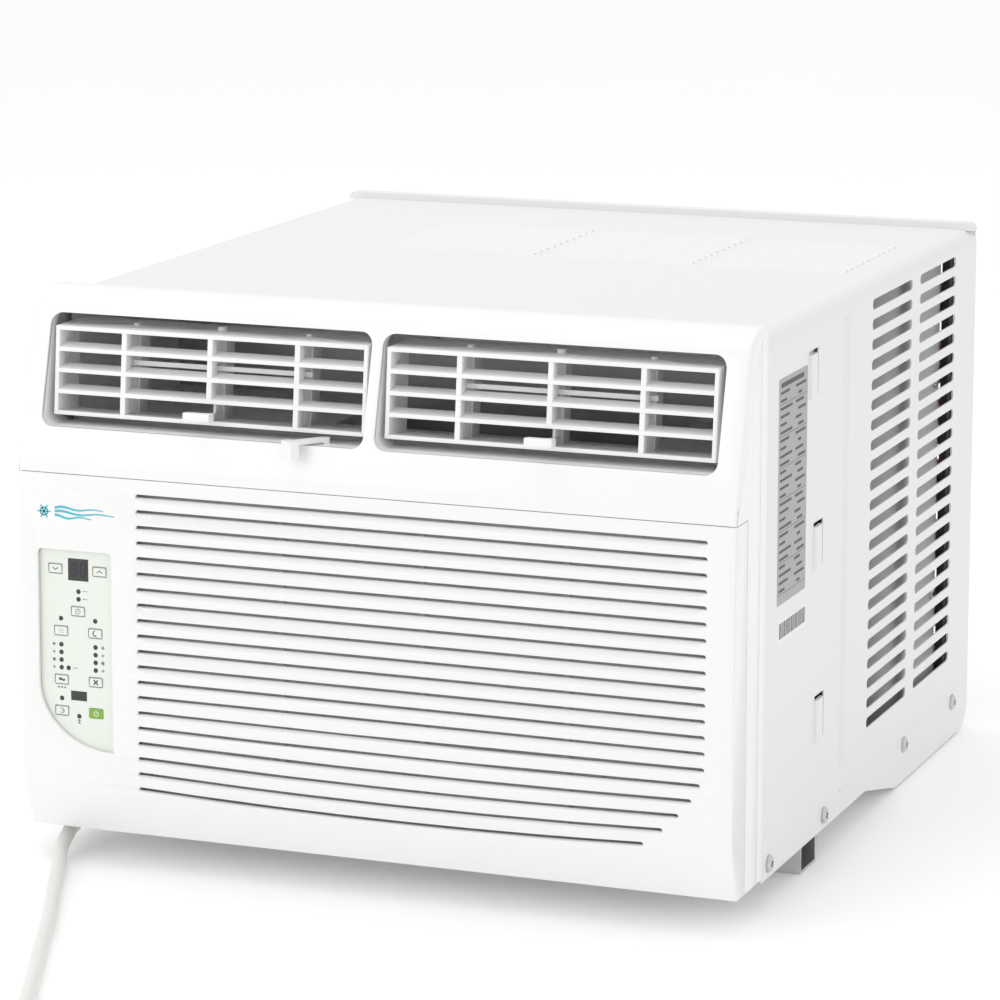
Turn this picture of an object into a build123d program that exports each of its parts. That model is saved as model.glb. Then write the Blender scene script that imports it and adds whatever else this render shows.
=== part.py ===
"""Window air conditioner: steel cabinet on a base pan, moulded front, cooling circuit and fans inside.

Millimetres.  +Z is up, the front faces -Y, +X is to the right when facing the front.
The origin is on the standing surface, at the middle of the unit's width and depth.
"""
import os
from math import atan2, cos, degrees, pi, radians, sin, tan

from build123d import *

os.makedirs("parts", exist_ok=True)

# ---------------------------------------------------------------- driving sizes
WIDTH = 482.0            # across the front panel
DEPTH = 545.0            # front of the intake grille to the back of the cabinet
HEIGHT = 370.0           # standing surface to the top of the front panel
PANEL_DEPTH = 62.5       # the front panel stands this far ahead of the cabinet
FOOT = 24.0              # datum of the panel's lower edge above the standing surface
SPLIT_HEIGHT = 233.0     # split between grille and upper panel, above the datum
PANEL_STEP = 6.0         # panel top above cabinet top
SIDE_STEP = 1.0          # panel side proud of cabinet side

SHEET = 1.0              # cabinet and bulkhead steel
PAN_SHEET = 1.2          # base pan steel
WALL = 2.5               # moulded panel wall
SEAM = 0.5               # gap between neighbouring covers
FIT = 0.3                # clearance of a piece that sits inside another
PIVOT_PLAY = 0.05        # radial play of a pin in its bore

# Front panel outline
GRILLE_BULGE = 3.5       # the grille's face leans out by this much from split to BULGE_HEIGHT
BULGE_HEIGHT = 71.0      # above the datum
CHIN_HEIGHT = 28.0       # where the face starts to turn in, above the datum
CHIN_TURN = 10.8         # how far the lower edge is set back
LOW_EDGE = 2.5           # lower edge below the datum
FACE_LEAN = 15.3         # degrees, upper face leaning back
LEDGE_RISE = 5.0         # upright ledge above the split line
LEDGE_RADIUS = 30.0
BROW_RADIUS = 26.0       # upper face into the panel's top
PANEL_CORNER = 13.0      # upright corners of the upper panel
GRILLE_CORNER = 3.0      # upright corners of the grille
TONGUE = 5.0                         # panel's locating tongue inside the cabinet
GRILLE_SIDE = 25.0       # depth of the grille's side walls

# Air outlets
OUTLET_LEFT = (-228.0, -5.0)
OUTLET_RIGHT = (2.0, 226.0)
OUTLET_HEIGHT = (261.5, 332.0)      # above the datum
OUTLET_CORNER = 8.0
LOUVRE_WIDTH = 216.0
LOUVRE_HEIGHT = 56.7
LOUVRE_DEPTH = 30.0
LOUVRE_SKIN = 2.6
LOUVRE_BARS = 5
LOUVRE_BAR_DEPTH = 8.0
LOUVRE_RIBS = 3
LOUVRE_RIB_PITCH = 60.0
LOUVRE_LEAN = 6.0                    # degrees
LOUVRE_BACKSET = 37.5                # pivot behind the grille's foremost face
LOUVRE_PIVOT_HEIGHT = 294.3          # above the datum
LOUVRE_PIN = 2.5                     # radius
BRACKET = 2.0                        # outer pivot bracket thickness
VANE_CHORD = 26.0
VANE_FRONT = 12.0                    # of the chord, ahead of the vane's pivot
VANE_SKIN = 1.8
VANE_PIVOT = 22.0                    # behind the louvre's face
VANE_PIN = 1.6
LINK_SIZE = 3.0
LINK_BOSS = 2.2                      # radius of the link's eyes
LINK_REACH = 9.5                     # link ahead of the vane pivots
LINK_DROP = 5.5                      # link above the louvre's mid height
TAB_WIDTH, TAB_DEPTH, TAB_THICK = 18.0, 8.0, 5.0
TAB_STEM = 4.0

# Intake slots
SLOT_ROWS = 20
SLOT_PITCH = 10.05
SLOT_TOP = 223.2                     # first row above the datum
SLOT_GAP = 3.0
SLOT_SPAN = (-158.5, 223.0)
SLOT_BOW_ROW = 12                    # rows below this one bow downwards
SLOT_BOW = 3.8                       # bow of the last row
SLOT_CUT_HEIGHT = 85.0               # below this height the right ends draw in
SLOT_CUT_RATE, SLOT_CUT_POWER = 0.0276, 1.83

# Control panel
DECK_X = (-228.5, -176.0)
DECK_Z = (52.5, 183.3)               # above the datum
DECK_SWEEP = 44.0                    # height of the long curved corner
DECK_LAP = 1.6                       # overlay hidden behind the grille all round
DECK_GAP = 1.0                       # overlay behind the grille's inner face
OVERLAY = 1.0
KEY_SIZE = (9.7, 6.3)
KEY_DEPTH = 2.2
KEY_PROUD = 0.2
KEY_GAP = 0.3
KEY_TRAVEL_ROOM = 0.9
BOARD = 1.6
LAMP_RADIUS = 1.6
HOUSING_WALL = 2.0
HOUSING_DEPTH = 34.0
DECK_MIDDLE = -201.7                 # the key layout's centre line
KEYS = {"temp_down": (-15.7, 170.0), "temp_up": (15.7, 170.0), "timer": (0.0, 143.0),
        "energy": (-12.2, 129.5), "sleep": (12.2, 129.5), "mode": (-12.2, 97.5),
        "fan": (12.2, 97.5), "saver": (-12.2, 77.0), "power": (12.2, 77.0)}
DISPLAY = (0.5, 170.2, 14.5, 14.5)
RECEIVER = (0.0, 87.5, 11.4, 6.3)
LAMPS = [(0.5, 156.0), (0.5, 151.0), (-12.2, 137.6), (12.2, 137.6), (-12.2, 85.1), (0.0, 74.1),
         (-7.2, 105.4)]
LAMP_COLUMNS = (-12.2, 12.2)
LAMP_COLUMN_TOP, LAMP_PITCH, LAMPS_PER_COLUMN = 120.5, 5.05, 4

# Cabinet and base
CASE_CORNER = 10.0
CASE_SKIRT = 6.0                     # cabinet side below the datum, at the front
SUMP_START, SUMP_FULL = 225.0, 300.0  # behind the cabinet's front edge
REAR_CORNER = 20.0
REAR_FLANGE = 12.0
REAR_BEAD_WIDTH, REAR_BEAD_RISE = 11.0, 4.5
VENT_ROWS, VENT_PITCH, VENT_HEIGHT = 22, 13.48, 7.0
VENT_TOP = 323.9                     # centre of the top row above the datum
VENT_COLUMNS = [(225.0, 319.0), (338.0, 428.0)]
CURTAIN_SLOTS = [(93.5, 300.7), (107.5, 188.0), (114.5, 73.0)]
CURTAIN_SLOT = (3.2, 30.0)
PAN_FLANGE = 20.0                    # pan flange above the datum
PAN_BACKSET = 3.0
SCREW_ROW = 3.0                      # above the datum
SCREW_SPOTS = [14.5, 130.7, 317.5, 441.0]
SCREW_RADIUS, SCREW_LENGTH = 2.0, 8.0
SCREW_HEAD, SCREW_HEAD_RISE = 5.2, 3.0
CHANNEL_SPOT = (85.0, 117.0)
CHANNEL_SHEET = 1.5
CHANNEL_HOLE, CHANNEL_HOLE_SPACING = 3.0, 300.0
DRAIN_RADIUS, DRAIN_SPOT = 5.0, 400.0

# Fans and motor
SHAFT_X, SHAFT_HEIGHT, SHAFT_RADIUS = 30.0, 125.0, 6.0
BULKHEAD_SPOT = 160.0                # behind the cabinet's front edge
BULKHEAD_BORE = 14.0
WHEEL_RADIUS, WHEEL_BLADE, WHEEL_WIDTH, WHEEL_BLADES = 92.0, 14.0, 80.0, 40
WHEEL_BACKSET = 10.0                 # wheel ahead of the bulkhead
SCROLL_RADIUS, SCROLL_DEPTH, SCROLL_WALL = 112.0, 98.0, 4.0
SCROLL_X = (-150.0, 190.0)
SCROLL_THROAT = (-75.0, 142.0)
INLET_RADIUS = 76.0
DUCT_FLOOR, DUCT_SKIN = 246.0, 6.0   # floor's underside above the datum
MOTOR_RADIUS, MOTOR_LENGTH, MOTOR_SPOT = 52.0, 80.0, 170.0
FAN_RADIUS, FAN_RING, FAN_HUB, FAN_HUB_LENGTH, FAN_BLADES = 138.0, 4.0, 30.0, 38.0, 5
FAN_SPOT = 272.0
FAN_PITCH = 28.0                     # degrees
SHROUD_SPOT = (290.0, 418.0)
SHROUD_LIFT = 6.0                    # lower edge above the standing surface
SHROUD_HALF, SHROUD_WALL, SHROUD_CORNER, SHROUD_PLAY = 232.0, 2.0, 35.0, 4.0

# Cooling circuit
TUBE_RADIUS, TUBE_PITCH = 4.8, 22.0
EVAP_X, EVAP_SPOT, EVAP_Z = (-138.0, 212.0), (6.0, 44.0), (4.0, 238.0)
COND_X, COND_SPOT, COND_Z = (-215.0, 215.0), (430.0, 466.0), (2.0, 320.0)
END_PLATE = 1.5
COMP_RADIUS, COMP_HEIGHT = 48.0, 215.0
COMP_ROOM = 7.0                      # compressor behind the bulkhead
TANK_ROOM = 9.0                      # compressor beside the accumulator
COMP_FOOT_RADIUS, COMP_BOLT_CIRCLE = 11.0, 62.0
GROMMET_RADIUS, GROMMET_HEIGHT = 8.0, 8.0
BOLT_RADIUS = 3.0
TANK_X, TANK_RADIUS, TANK_HEIGHT = -212.0, 20.0, 110.0
PIPE_RADIUS = 4.0
CAPILLARY_RADIUS = 1.6

# Mains lead
CORD_RADIUS = 4.75
RELIEF_SEAT = 3.0                    # strain relief's root ahead of the pan's front wall
CORD_LIFT = 4.8                      # centre of a lead lying on the surface
COIL_RADIUS = 52.0                   # middle of the turns
COIL_TURNS_WIDE, COIL_TURNS_HIGH = 2, 2

# ---------------------------------------------------------------- places worked out from them
FRONT_Y = -DEPTH / 2
CASE_Y = FRONT_Y + PANEL_DEPTH
REAR_Y = DEPTH / 2
HALF = WIDTH / 2
CASE_HALF = HALF - SIDE_STEP
CASE_INNER = CASE_HALF - SHEET
CASE_TOP = HEIGHT - PANEL_STEP
SPLIT = FOOT + SPLIT_HEIGHT
SPLIT_Y = FRONT_Y + GRILLE_BULGE
PAN_FLOOR = FOOT - CASE_SKIRT + 2
AXLE = (SHAFT_X, FOOT + SHAFT_HEIGHT)


def slab(x, y, z, mode=Mode.ADD):
    """A box between the given limits, each a (low, high) pair."""
    with Locations(((x[0] + x[1]) / 2, (y[0] + y[1]) / 2, (z[0] + z[1]) / 2)):
        Box(x[1] - x[0], y[1] - y[0], z[1] - z[0], mode=mode)


def rod_x(radius, x, y, z, mode=Mode.ADD):
    """A cylinder along X between the two x limits."""
    with Locations(((x[0] + x[1]) / 2, y, z)):
        Cylinder(radius, x[1] - x[0], rotation=(0, 90, 0), mode=mode)


def rod_y(radius, x, y, z, mode=Mode.ADD):
    """A cylinder along Y between the two y limits."""
    with Locations((x, (y[0] + y[1]) / 2, z)):
        Cylinder(radius, y[1] - y[0], rotation=(90, 0, 0), mode=mode)


def rod_z(radius, x, y, z, mode=Mode.ADD):
    """A cylinder along Z between the two z limits."""
    with Locations((x, y, (z[0] + z[1]) / 2)):
        Cylinder(radius, z[1] - z[0], mode=mode)


def facing(y):
    """A plane that faces the front, at the given y."""
    return Plane.XZ.offset(-y)


def save(name, piece):
    """Label a finished piece and write it."""
    piece.part.label = name
    export_step(piece.part, f"parts/{name}.step")


def spots(values):
    """Distances behind the cabinet's front edge, as y limits."""
    return tuple(CASE_Y + value for value in values)


def levels(values):
    """Heights above the datum, as z limits."""
    return tuple(FOOT + value for value in values)


# ---------------------------------------------------------------- base pan
def pan_outline(inset, top):
    """Side outline of the pan: a raised front floor, a slope and the deep rear sump."""
    front = CASE_Y + PAN_BACKSET + inset
    rear = REAR_Y - SHEET - FIT - inset
    with BuildSketch(Plane.YZ) as outline:
        with BuildLine():
            Polyline((front, top), (front, PAN_FLOOR + inset), (CASE_Y + SUMP_START, PAN_FLOOR + inset),
                     (CASE_Y + SUMP_FULL, inset), (rear - REAR_CORNER, inset), (rear, REAR_CORNER + inset),
                     (rear, top), close=True)
        make_face()
    return outline.sketch


pan_half = CASE_INNER - FIT
pan_top = FOOT + PAN_FLANGE
boss_top = PAN_FLOOR + PAN_SHEET + 2.0
comp_x = TANK_X + TANK_RADIUS + TANK_ROOM + COMP_RADIUS
comp_y = CASE_Y + BULKHEAD_SPOT + COMP_ROOM + COMP_RADIUS
bolt_spots = [(comp_x + COMP_BOLT_CIRCLE * cos(radians(a)), comp_y + COMP_BOLT_CIRCLE * sin(radians(a)))
              for a in (90, 210, 330)]
cord_gate = (-228.0, CASE_Y + PAN_BACKSET - RELIEF_SEAT, FOOT + 0.5)

with BuildPart() as base_pan:
    extrude(pan_outline(0, pan_top), amount=pan_half, both=True)
    extrude(pan_outline(PAN_SHEET, pan_top + 5), amount=pan_half - PAN_SHEET, both=True, mode=Mode.SUBTRACT)
    for x, y in bolt_spots:
        slope = min(max((y - CASE_Y - SUMP_START) / (SUMP_FULL - SUMP_START), 0), 1)
        rod_z(GROMMET_RADIUS + 3, x, y, (PAN_FLOOR * (1 - slope) + 0.4 * PAN_SHEET, boss_top))
        rod_z(BOLT_RADIUS, x, y, (boss_top - 12, boss_top + 1), Mode.SUBTRACT)
    for side in (-1, 1):
        for spot in SCREW_SPOTS:
            x = side * pan_half
            rod_x(SCREW_RADIUS, sorted((x - 3 * side, x + side)), CASE_Y + spot, FOOT + SCREW_ROW,
                  Mode.SUBTRACT)
    rod_z(DRAIN_RADIUS, 0, CASE_Y + DRAIN_SPOT, (-1, PAN_SHEET + 1), Mode.SUBTRACT)
    slab((cord_gate[0] - 6, cord_gate[0] + 6), (CASE_Y, CASE_Y + PAN_BACKSET + PAN_SHEET + 1),
         (PAN_FLOOR + PAN_SHEET, FOOT + 9), Mode.SUBTRACT)
save("base_pan", base_pan)

# ---------------------------------------------------------------- sill channel
channel_y = spots(CHANNEL_SPOT)
channel_half = CASE_HALF - 1
with BuildPart() as sill_channel:
    slab((-channel_half, channel_half), channel_y, (0, PAN_FLOOR))
    slab((-channel_half - 1, channel_half + 1),
         (channel_y[0] + CHANNEL_SHEET, channel_y[1] - CHANNEL_SHEET),
         (CHANNEL_SHEET, PAN_FLOOR + 1), Mode.SUBTRACT)
    for x in (-CHANNEL_HOLE_SPACING / 2, CHANNEL_HOLE_SPACING / 2):
        rod_z(CHANNEL_HOLE, x, sum(channel_y) / 2, (-1, CHANNEL_SHEET + 1), Mode.SUBTRACT)
save("sill_channel", sill_channel)

# ---------------------------------------------------------------- cabinet
skirt = FOOT - CASE_SKIRT
with BuildPart() as cabinet:
    with BuildSketch(facing(CASE_Y)) as wrap:
        with Locations((0, CASE_TOP / 2)):
            Rectangle(2 * CASE_HALF, CASE_TOP)
        fillet(wrap.vertices().group_by(Axis.Y)[-1], CASE_CORNER)
    extrude(amount=CASE_Y - REAR_Y)
    with BuildSketch(facing(CASE_Y)) as inside:
        with Locations((0, (CASE_TOP - SHEET) / 2)):
            Rectangle(2 * CASE_INNER, CASE_TOP - SHEET)
        fillet(inside.vertices().group_by(Axis.Y)[-1], CASE_CORNER - SHEET)
    extrude(amount=CASE_Y - REAR_Y, mode=Mode.SUBTRACT)
    slab((-CASE_HALF, CASE_HALF), (REAR_Y - REAR_BEAD_WIDTH, REAR_Y),
         (CASE_TOP - SHEET, CASE_TOP + REAR_BEAD_RISE))
    fillet(cabinet.edges().filter_by(Axis.X).group_by(Axis.Z)[-1], REAR_BEAD_RISE * 0.6)
    with BuildSketch(facing(REAR_Y)):
        with Locations((0, CASE_TOP / 2)):
            Rectangle(2 * CASE_INNER, CASE_TOP)
            Rectangle(2 * (CASE_INNER - REAR_FLANGE), CASE_TOP - 2 * REAR_FLANGE, mode=Mode.SUBTRACT)
    extrude(amount=SHEET)
    with BuildSketch(Plane.YZ) as side_cut:
        with BuildLine():
            Polyline((CASE_Y, skirt), (CASE_Y + SUMP_START, skirt), (CASE_Y + SUMP_FULL, SHEET),
                     (REAR_Y - REAR_CORNER, SHEET), (REAR_Y, SHEET + REAR_CORNER), (REAR_Y, HEIGHT + 10),
                     (CASE_Y, HEIGHT + 10), close=True)
        make_face()
        fillet(side_cut.vertices().group_by(Axis.Y)[0].sort_by(Axis.X)[-2:], REAR_CORNER)
    extrude(amount=HALF + 10, both=True, mode=Mode.INTERSECT)
    with BuildSketch(Plane.YZ):
        for column in VENT_COLUMNS:
            middle = CASE_Y + sum(column) / 2
            length = column[1] - column[0]
            lowest = FOOT + VENT_TOP - (VENT_ROWS - 1) * VENT_PITCH / 2
            with Locations((middle, lowest)):
                with GridLocations(0, VENT_PITCH, 1, VENT_ROWS):
                    SlotOverall(length, VENT_HEIGHT)
        for spot, height in CURTAIN_SLOTS:
            with Locations((CASE_Y + spot + 9, FOOT + height)):
                Rectangle(*CURTAIN_SLOT)
        for spot in SCREW_SPOTS:
            with Locations((CASE_Y + spot, FOOT + SCREW_ROW)):
                Circle(SCREW_RADIUS + PIVOT_PLAY)
    extrude(amount=HALF + 10, both=True, mode=Mode.SUBTRACT)
save("cabinet", cabinet)

with BuildPart() as case_screws:
    for side in (-1, 1):
        for spot in SCREW_SPOTS:
            face = side * CASE_HALF
            rod_x(SCREW_RADIUS, sorted((face, face - side * SCREW_LENGTH)), CASE_Y + spot, FOOT + SCREW_ROW)
            with Locations(Location((face, CASE_Y + spot, FOOT + SCREW_ROW), (0, 90 * side, 0))):
                Cone(SCREW_HEAD, SCREW_HEAD * 0.55, SCREW_HEAD_RISE,
                     align=(Align.CENTER, Align.CENTER, Align.MIN))
save("case_screws", case_screws)

# ---------------------------------------------------------------- front panel
pivot_y = FRONT_Y + LOUVRE_BACKSET
pivot_z = FOOT + LOUVRE_PIVOT_HEIGHT
panel_rear = CASE_Y - SEAM
ring_y = FRONT_Y + GRILLE_SIDE + 1.0
hinge_y, hinge_z = FRONT_Y + 18.5, FOOT + 0.5
HINGE_PIN, HINGE_BOSS = 1.5, 3.0
post = (OUTLET_LEFT[1] + 0.5, OUTLET_RIGHT[0] - 0.5)
bracket_left = (OUTLET_LEFT[0] - BRACKET, OUTLET_LEFT[0])
bracket_right = (OUTLET_RIGHT[1] + BRACKET, OUTLET_RIGHT[1] + 2 * BRACKET)


def upper_outline(inset):
    """Side outline of the upper panel: ledge, leaning face, rounded brow and flat top."""
    top = HEIGHT - inset
    front = SPLIT_Y + inset
    lean_back = (top - SPLIT - LEDGE_RISE) * tan(radians(FACE_LEAN))
    with BuildSketch(Plane.YZ) as outline:
        with BuildLine():
            Polyline((front, SPLIT + inset), (front, SPLIT + LEDGE_RISE), (front + lean_back, top),
                     (panel_rear + inset, top), (panel_rear + inset, SPLIT + inset), close=True)
        make_face()
        fillet(outline.vertices().group_by(Axis.Y)[-1].sort_by(Axis.X)[0], BROW_RADIUS - inset)
        room = 0.9 * (LEDGE_RISE - inset) / tan(radians(FACE_LEAN / 2))
        fillet(outline.vertices().filter_by(lambda v: abs(v.Y - SPLIT - LEDGE_RISE) < 0.1)[0],
               min(LEDGE_RADIUS, room))
    return outline.sketch


with BuildPart() as front_panel:
    extrude(upper_outline(0), amount=HALF, both=True)
    for side in (0, -1):
        sloping = front_panel.edges().filter_by(lambda e: e.center().Y < ring_y - 5).group_by(Axis.X)[side]
        fillet(sloping.sort_by(Axis.Z)[2:], PANEL_CORNER * 0.8)
    slab((-HALF, HALF), (ring_y, panel_rear), (FOOT - LOW_EDGE, SPLIT + WALL))
    extrude(upper_outline(WALL), amount=HALF - WALL - 3, both=True, mode=Mode.SUBTRACT)
    slab((-HALF + WALL + 3, HALF - WALL - 3), (CASE_Y - 25, CASE_Y), (SPLIT + WALL, HEIGHT - WALL),
         Mode.SUBTRACT)
    slab((-HALF + WALL, HALF - WALL), (ring_y - 1, CASE_Y), (FOOT, SPLIT), Mode.SUBTRACT)
    slab((-HALF + WALL + SEAM, HALF - WALL - SEAM), (hinge_y + 3.3, ring_y + 1), (FOOT - LOW_EDGE, FOOT))
    with BuildSketch(facing(FRONT_Y - 20)):
        for span in (OUTLET_LEFT, OUTLET_RIGHT):
            with Locations((sum(span) / 2, FOOT + sum(OUTLET_HEIGHT) / 2)):
                RectangleRounded(span[1] - span[0], OUTLET_HEIGHT[1] - OUTLET_HEIGHT[0], OUTLET_CORNER)
    extrude(amount=-PANEL_DEPTH, mode=Mode.SUBTRACT)
    for span in (post, bracket_left, bracket_right):
        slab(span, (pivot_y - 10, pivot_y + 10), (SPLIT + 1, pivot_z + 8))
    for span in (post, bracket_left, bracket_right):
        rod_x(LOUVRE_PIN + PIVOT_PLAY, (span[0] - 1, span[1] + 1), pivot_y, pivot_z, Mode.SUBTRACT)
    tongue_top = CASE_TOP - SHEET - FIT
    tongue_half = CASE_INNER - FIT - CASE_CORNER
    slab((-tongue_half, tongue_half), (panel_rear - 3, CASE_Y + TONGUE), (tongue_top - 2, tongue_top))
    slab((-tongue_half, tongue_half), (panel_rear - 3, panel_rear), (tongue_top - 2, HEIGHT - WALL + 1))
    for side in (-1, 1):
        x = side * (CASE_INNER - FIT)
        slab(sorted((x, x - 2 * side)), (panel_rear - 3, CASE_Y + TONGUE),
             (pan_top + 2, tongue_top - CASE_CORNER))
        ear = side * (HALF - 13)
        slab(sorted((ear, ear + 5 * side)), (hinge_y - HINGE_BOSS, hinge_y + 5),
             (hinge_z - HINGE_BOSS, hinge_z + HINGE_BOSS))
        rod_x(HINGE_PIN, sorted((ear, ear + 10 * side)), hinge_y, hinge_z)
    slab((cord_gate[0] - 10, cord_gate[0] + 14), (ring_y + 3.5, CASE_Y), (FOOT - LOW_EDGE - 1, FOOT + 1),
         Mode.SUBTRACT)
save("front_panel", front_panel)

# ---------------------------------------------------------------- intake grille
grille_top = SPLIT - SEAM
grille_rear = FRONT_Y + GRILLE_SIDE


def grille_outline(inset):
    """Side outline of the grille: a slightly bulged face with a turned-in chin."""
    low = FOOT - LOW_EDGE + inset
    with BuildSketch(Plane.YZ) as outline:
        with BuildLine():
            Polyline((SPLIT_Y + inset, grille_top), (FRONT_Y + inset, FOOT + BULGE_HEIGHT),
                     (FRONT_Y + inset, FOOT + CHIN_HEIGHT), (FRONT_Y + CHIN_TURN + 0.7 * inset, low),
                     (grille_rear + inset, low), (grille_rear + inset, grille_top), close=True)
        make_face()
    return outline.sketch


def slot_row(row):
    """One intake slot: three points left to right, bowed on the lower rows."""
    z = FOOT + SLOT_TOP - row * SLOT_PITCH
    below = max(row - SLOT_BOW_ROW, 0) / (SLOT_ROWS - 1 - SLOT_BOW_ROW)
    drawn_in = SLOT_CUT_RATE * max(SLOT_CUT_HEIGHT + FOOT - z, 0) ** SLOT_CUT_POWER
    left, right = SLOT_SPAN[0], SLOT_SPAN[1] - drawn_in
    return (left, z), ((left + right) / 2, z - SLOT_BOW * below), (right, z)


def deck_outline(grow):
    """Control recess seen from the front: square corners above, one long curve at lower left."""
    left, right = DECK_X[0] - grow, DECK_X[1] + grow
    low, top = FOOT + DECK_Z[0] - grow, FOOT + DECK_Z[1] + grow
    with BuildSketch() as outline:
        with BuildLine():
            Polyline((right, low), (right, top), (left, top), (left, FOOT + DECK_Z[0] + DECK_SWEEP))
            Bezier((left, FOOT + DECK_Z[0] + DECK_SWEEP), (left + 1, low + 6), (right - 18, low),
                   (right, low))
        make_face()
    return outline.sketch


with BuildPart() as intake_grille:
    extrude(grille_outline(0), amount=HALF, both=True)
    face_edges = intake_grille.edges().filter_by(lambda e: e.center().Y < grille_rear - 5)
    for side in (0, -1):
        fillet(face_edges.group_by(Axis.X)[side].filter_by(lambda e: e.length > 20), GRILLE_CORNER)
    extrude(grille_outline(WALL), amount=HALF - WALL, both=True, mode=Mode.SUBTRACT)
    slab((-HALF + WALL, HALF - WALL), (hinge_y, grille_rear + 1), (FOOT - LOW_EDGE - 1, FOOT + 1),
         Mode.SUBTRACT)
    slab((-HALF + WALL, HALF - WALL), (SPLIT_Y + WALL / 2, SPLIT_Y + 3 * WALL),
         (grille_top - WALL, grille_top))
    with BuildSketch(facing(FRONT_Y - 5)):
        for row in range(SLOT_ROWS):
            left, middle, right = slot_row(row)
            with BuildLine():
                Spline(left, middle, right)
                Line(right, (right[0], right[1] - SLOT_GAP))
                Spline((right[0], right[1] - SLOT_GAP), (middle[0], middle[1] - SLOT_GAP),
                       (left[0], left[1] - SLOT_GAP))
                Line((left[0], left[1] - SLOT_GAP), left)
            make_face()
        add(deck_outline(0))
    extrude(amount=-(GRILLE_BULGE + WALL + 8), mode=Mode.SUBTRACT)
    for side in (-1, 1):
        x = side * (HALF - WALL)
        slab(sorted((x - 12.5 * side, x - 3.5 * side)), (hinge_y - 7, hinge_y + 1),
             (FOOT - LOW_EDGE - 1, FOOT + 1), Mode.SUBTRACT)
        rod_x(HINGE_BOSS, sorted((x - 3 * side, x)), hinge_y, hinge_z)
        rod_x(HINGE_PIN + PIVOT_PLAY, sorted((x - 5 * side, x)), hinge_y, hinge_z, Mode.SUBTRACT)
save("intake_grille", intake_grille)

# ---------------------------------------------------------------- air filter, carried by the grille
filter_x = (SLOT_SPAN[0] - 4.5, HALF - WALL - 9)
filter_y = (FRONT_Y + 12.5, FRONT_Y + 16.5)
filter_z = (FOOT + 22.0, FOOT + 227.0)
FILTER_RIM, FILTER_MESH = 9.0, 0.8
with BuildPart() as filter_frame:
    slab(filter_x, filter_y, filter_z)
    slab((filter_x[0] + FILTER_RIM, filter_x[1] - FILTER_RIM), (filter_y[0] - 1, filter_y[1] + 1),
         (filter_z[0] + FILTER_RIM, filter_z[1] - FILTER_RIM), Mode.SUBTRACT)
    bay = (filter_x[1] - filter_x[0] - FILTER_RIM) / 4
    for bar in range(1, 4):
        x = filter_x[0] + FILTER_RIM / 2 + bar * bay
        slab((x - 2, x + 2), filter_y, (filter_z[0] + FILTER_RIM, filter_z[1] - FILTER_RIM))
    slab((filter_x[0], filter_x[1]), (filter_y[1] - 2, filter_y[1] - 2 + FILTER_MESH),
         (filter_z[0] + 4, filter_z[1] - 4), Mode.SUBTRACT)
save("filter_frame", filter_frame)

with BuildPart() as filter_mesh:
    slab((filter_x[0] + 0.5, filter_x[1] - 0.5), (filter_y[1] - 2, filter_y[1] - 2 + FILTER_MESH),
         (filter_z[0] + 4, filter_z[1] - 4))
save("filter_mesh", filter_mesh)

# ---------------------------------------------------------------- control panel
face_slope = GRILLE_BULGE / (SPLIT_HEIGHT - BULGE_HEIGHT)
deck_height = FOOT + sum(DECK_Z) / 2
deck_y = SPLIT_Y - face_slope * (SPLIT - deck_height) + WALL + DECK_GAP
deck = Plane(origin=(0, deck_y, deck_height), x_dir=(1, 0, 0), z_dir=(0, -1, face_slope))


def on_deck(x, height):
    """A place on the control panel: x from the layout's centre line, height above the datum."""
    return (DECK_MIDDLE + x, FOOT + height - deck_height)


with BuildPart() as control_overlay:
    with BuildSketch(deck):
        with Locations((0, -deck_height)):
            add(deck_outline(DECK_LAP))
        for place in KEYS.values():
            with Locations(on_deck(*place)):
                RectangleRounded(KEY_SIZE[0] + 2 * KEY_GAP, KEY_SIZE[1] + 2 * KEY_GAP, 1.2,
                                 mode=Mode.SUBTRACT)
        for x, height, wide, high in (DISPLAY, RECEIVER):
            with Locations(on_deck(x, height)):
                Rectangle(wide, high, mode=Mode.SUBTRACT)
        column_spots = [(x, LAMP_COLUMN_TOP - LAMP_PITCH * n)
                        for x in LAMP_COLUMNS for n in range(LAMPS_PER_COLUMN)]
        lamp_spots = LAMPS + column_spots
        for place in lamp_spots:
            with Locations(on_deck(*place)):
                Circle(LAMP_RADIUS, mode=Mode.SUBTRACT)
    extrude(amount=-OVERLAY)
save("control_overlay", control_overlay)

for key, place in KEYS.items():
    with BuildPart() as key_cap:
        with BuildSketch(deck.offset(KEY_PROUD)):
            with Locations(on_deck(*place)):
                RectangleRounded(*KEY_SIZE, 1.0)
        extrude(amount=-KEY_DEPTH)
    save(f"key_{key}", key_cap)

with BuildPart() as display_windows:
    with BuildSketch(deck):
        for x, height, wide, high in (DISPLAY, RECEIVER):
            with Locations(on_deck(x, height)):
                Rectangle(wide, high)
    extrude(amount=-KEY_DEPTH)
save("display_windows", display_windows)

with BuildPart() as indicator_lamps:
    with BuildSketch(deck):
        for place in lamp_spots:
            with Locations(on_deck(*place)):
                Circle(LAMP_RADIUS)
    extrude(amount=-KEY_DEPTH)
save("indicator_lamps", indicator_lamps)

board_depth = KEY_DEPTH - KEY_PROUD + KEY_TRAVEL_ROOM
deck_middle = sum(DECK_X) / 2
deck_size = (DECK_X[1] - DECK_X[0], DECK_Z[1] - DECK_Z[0])
with BuildPart() as display_board:
    with BuildSketch(deck.offset(-board_depth)):
        with Locations((deck_middle + 2, 0)):
            Rectangle(deck_size[0] - 8, deck_size[1] - 12)
    extrude(amount=-BOARD)
save("display_board", display_board)

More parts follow.
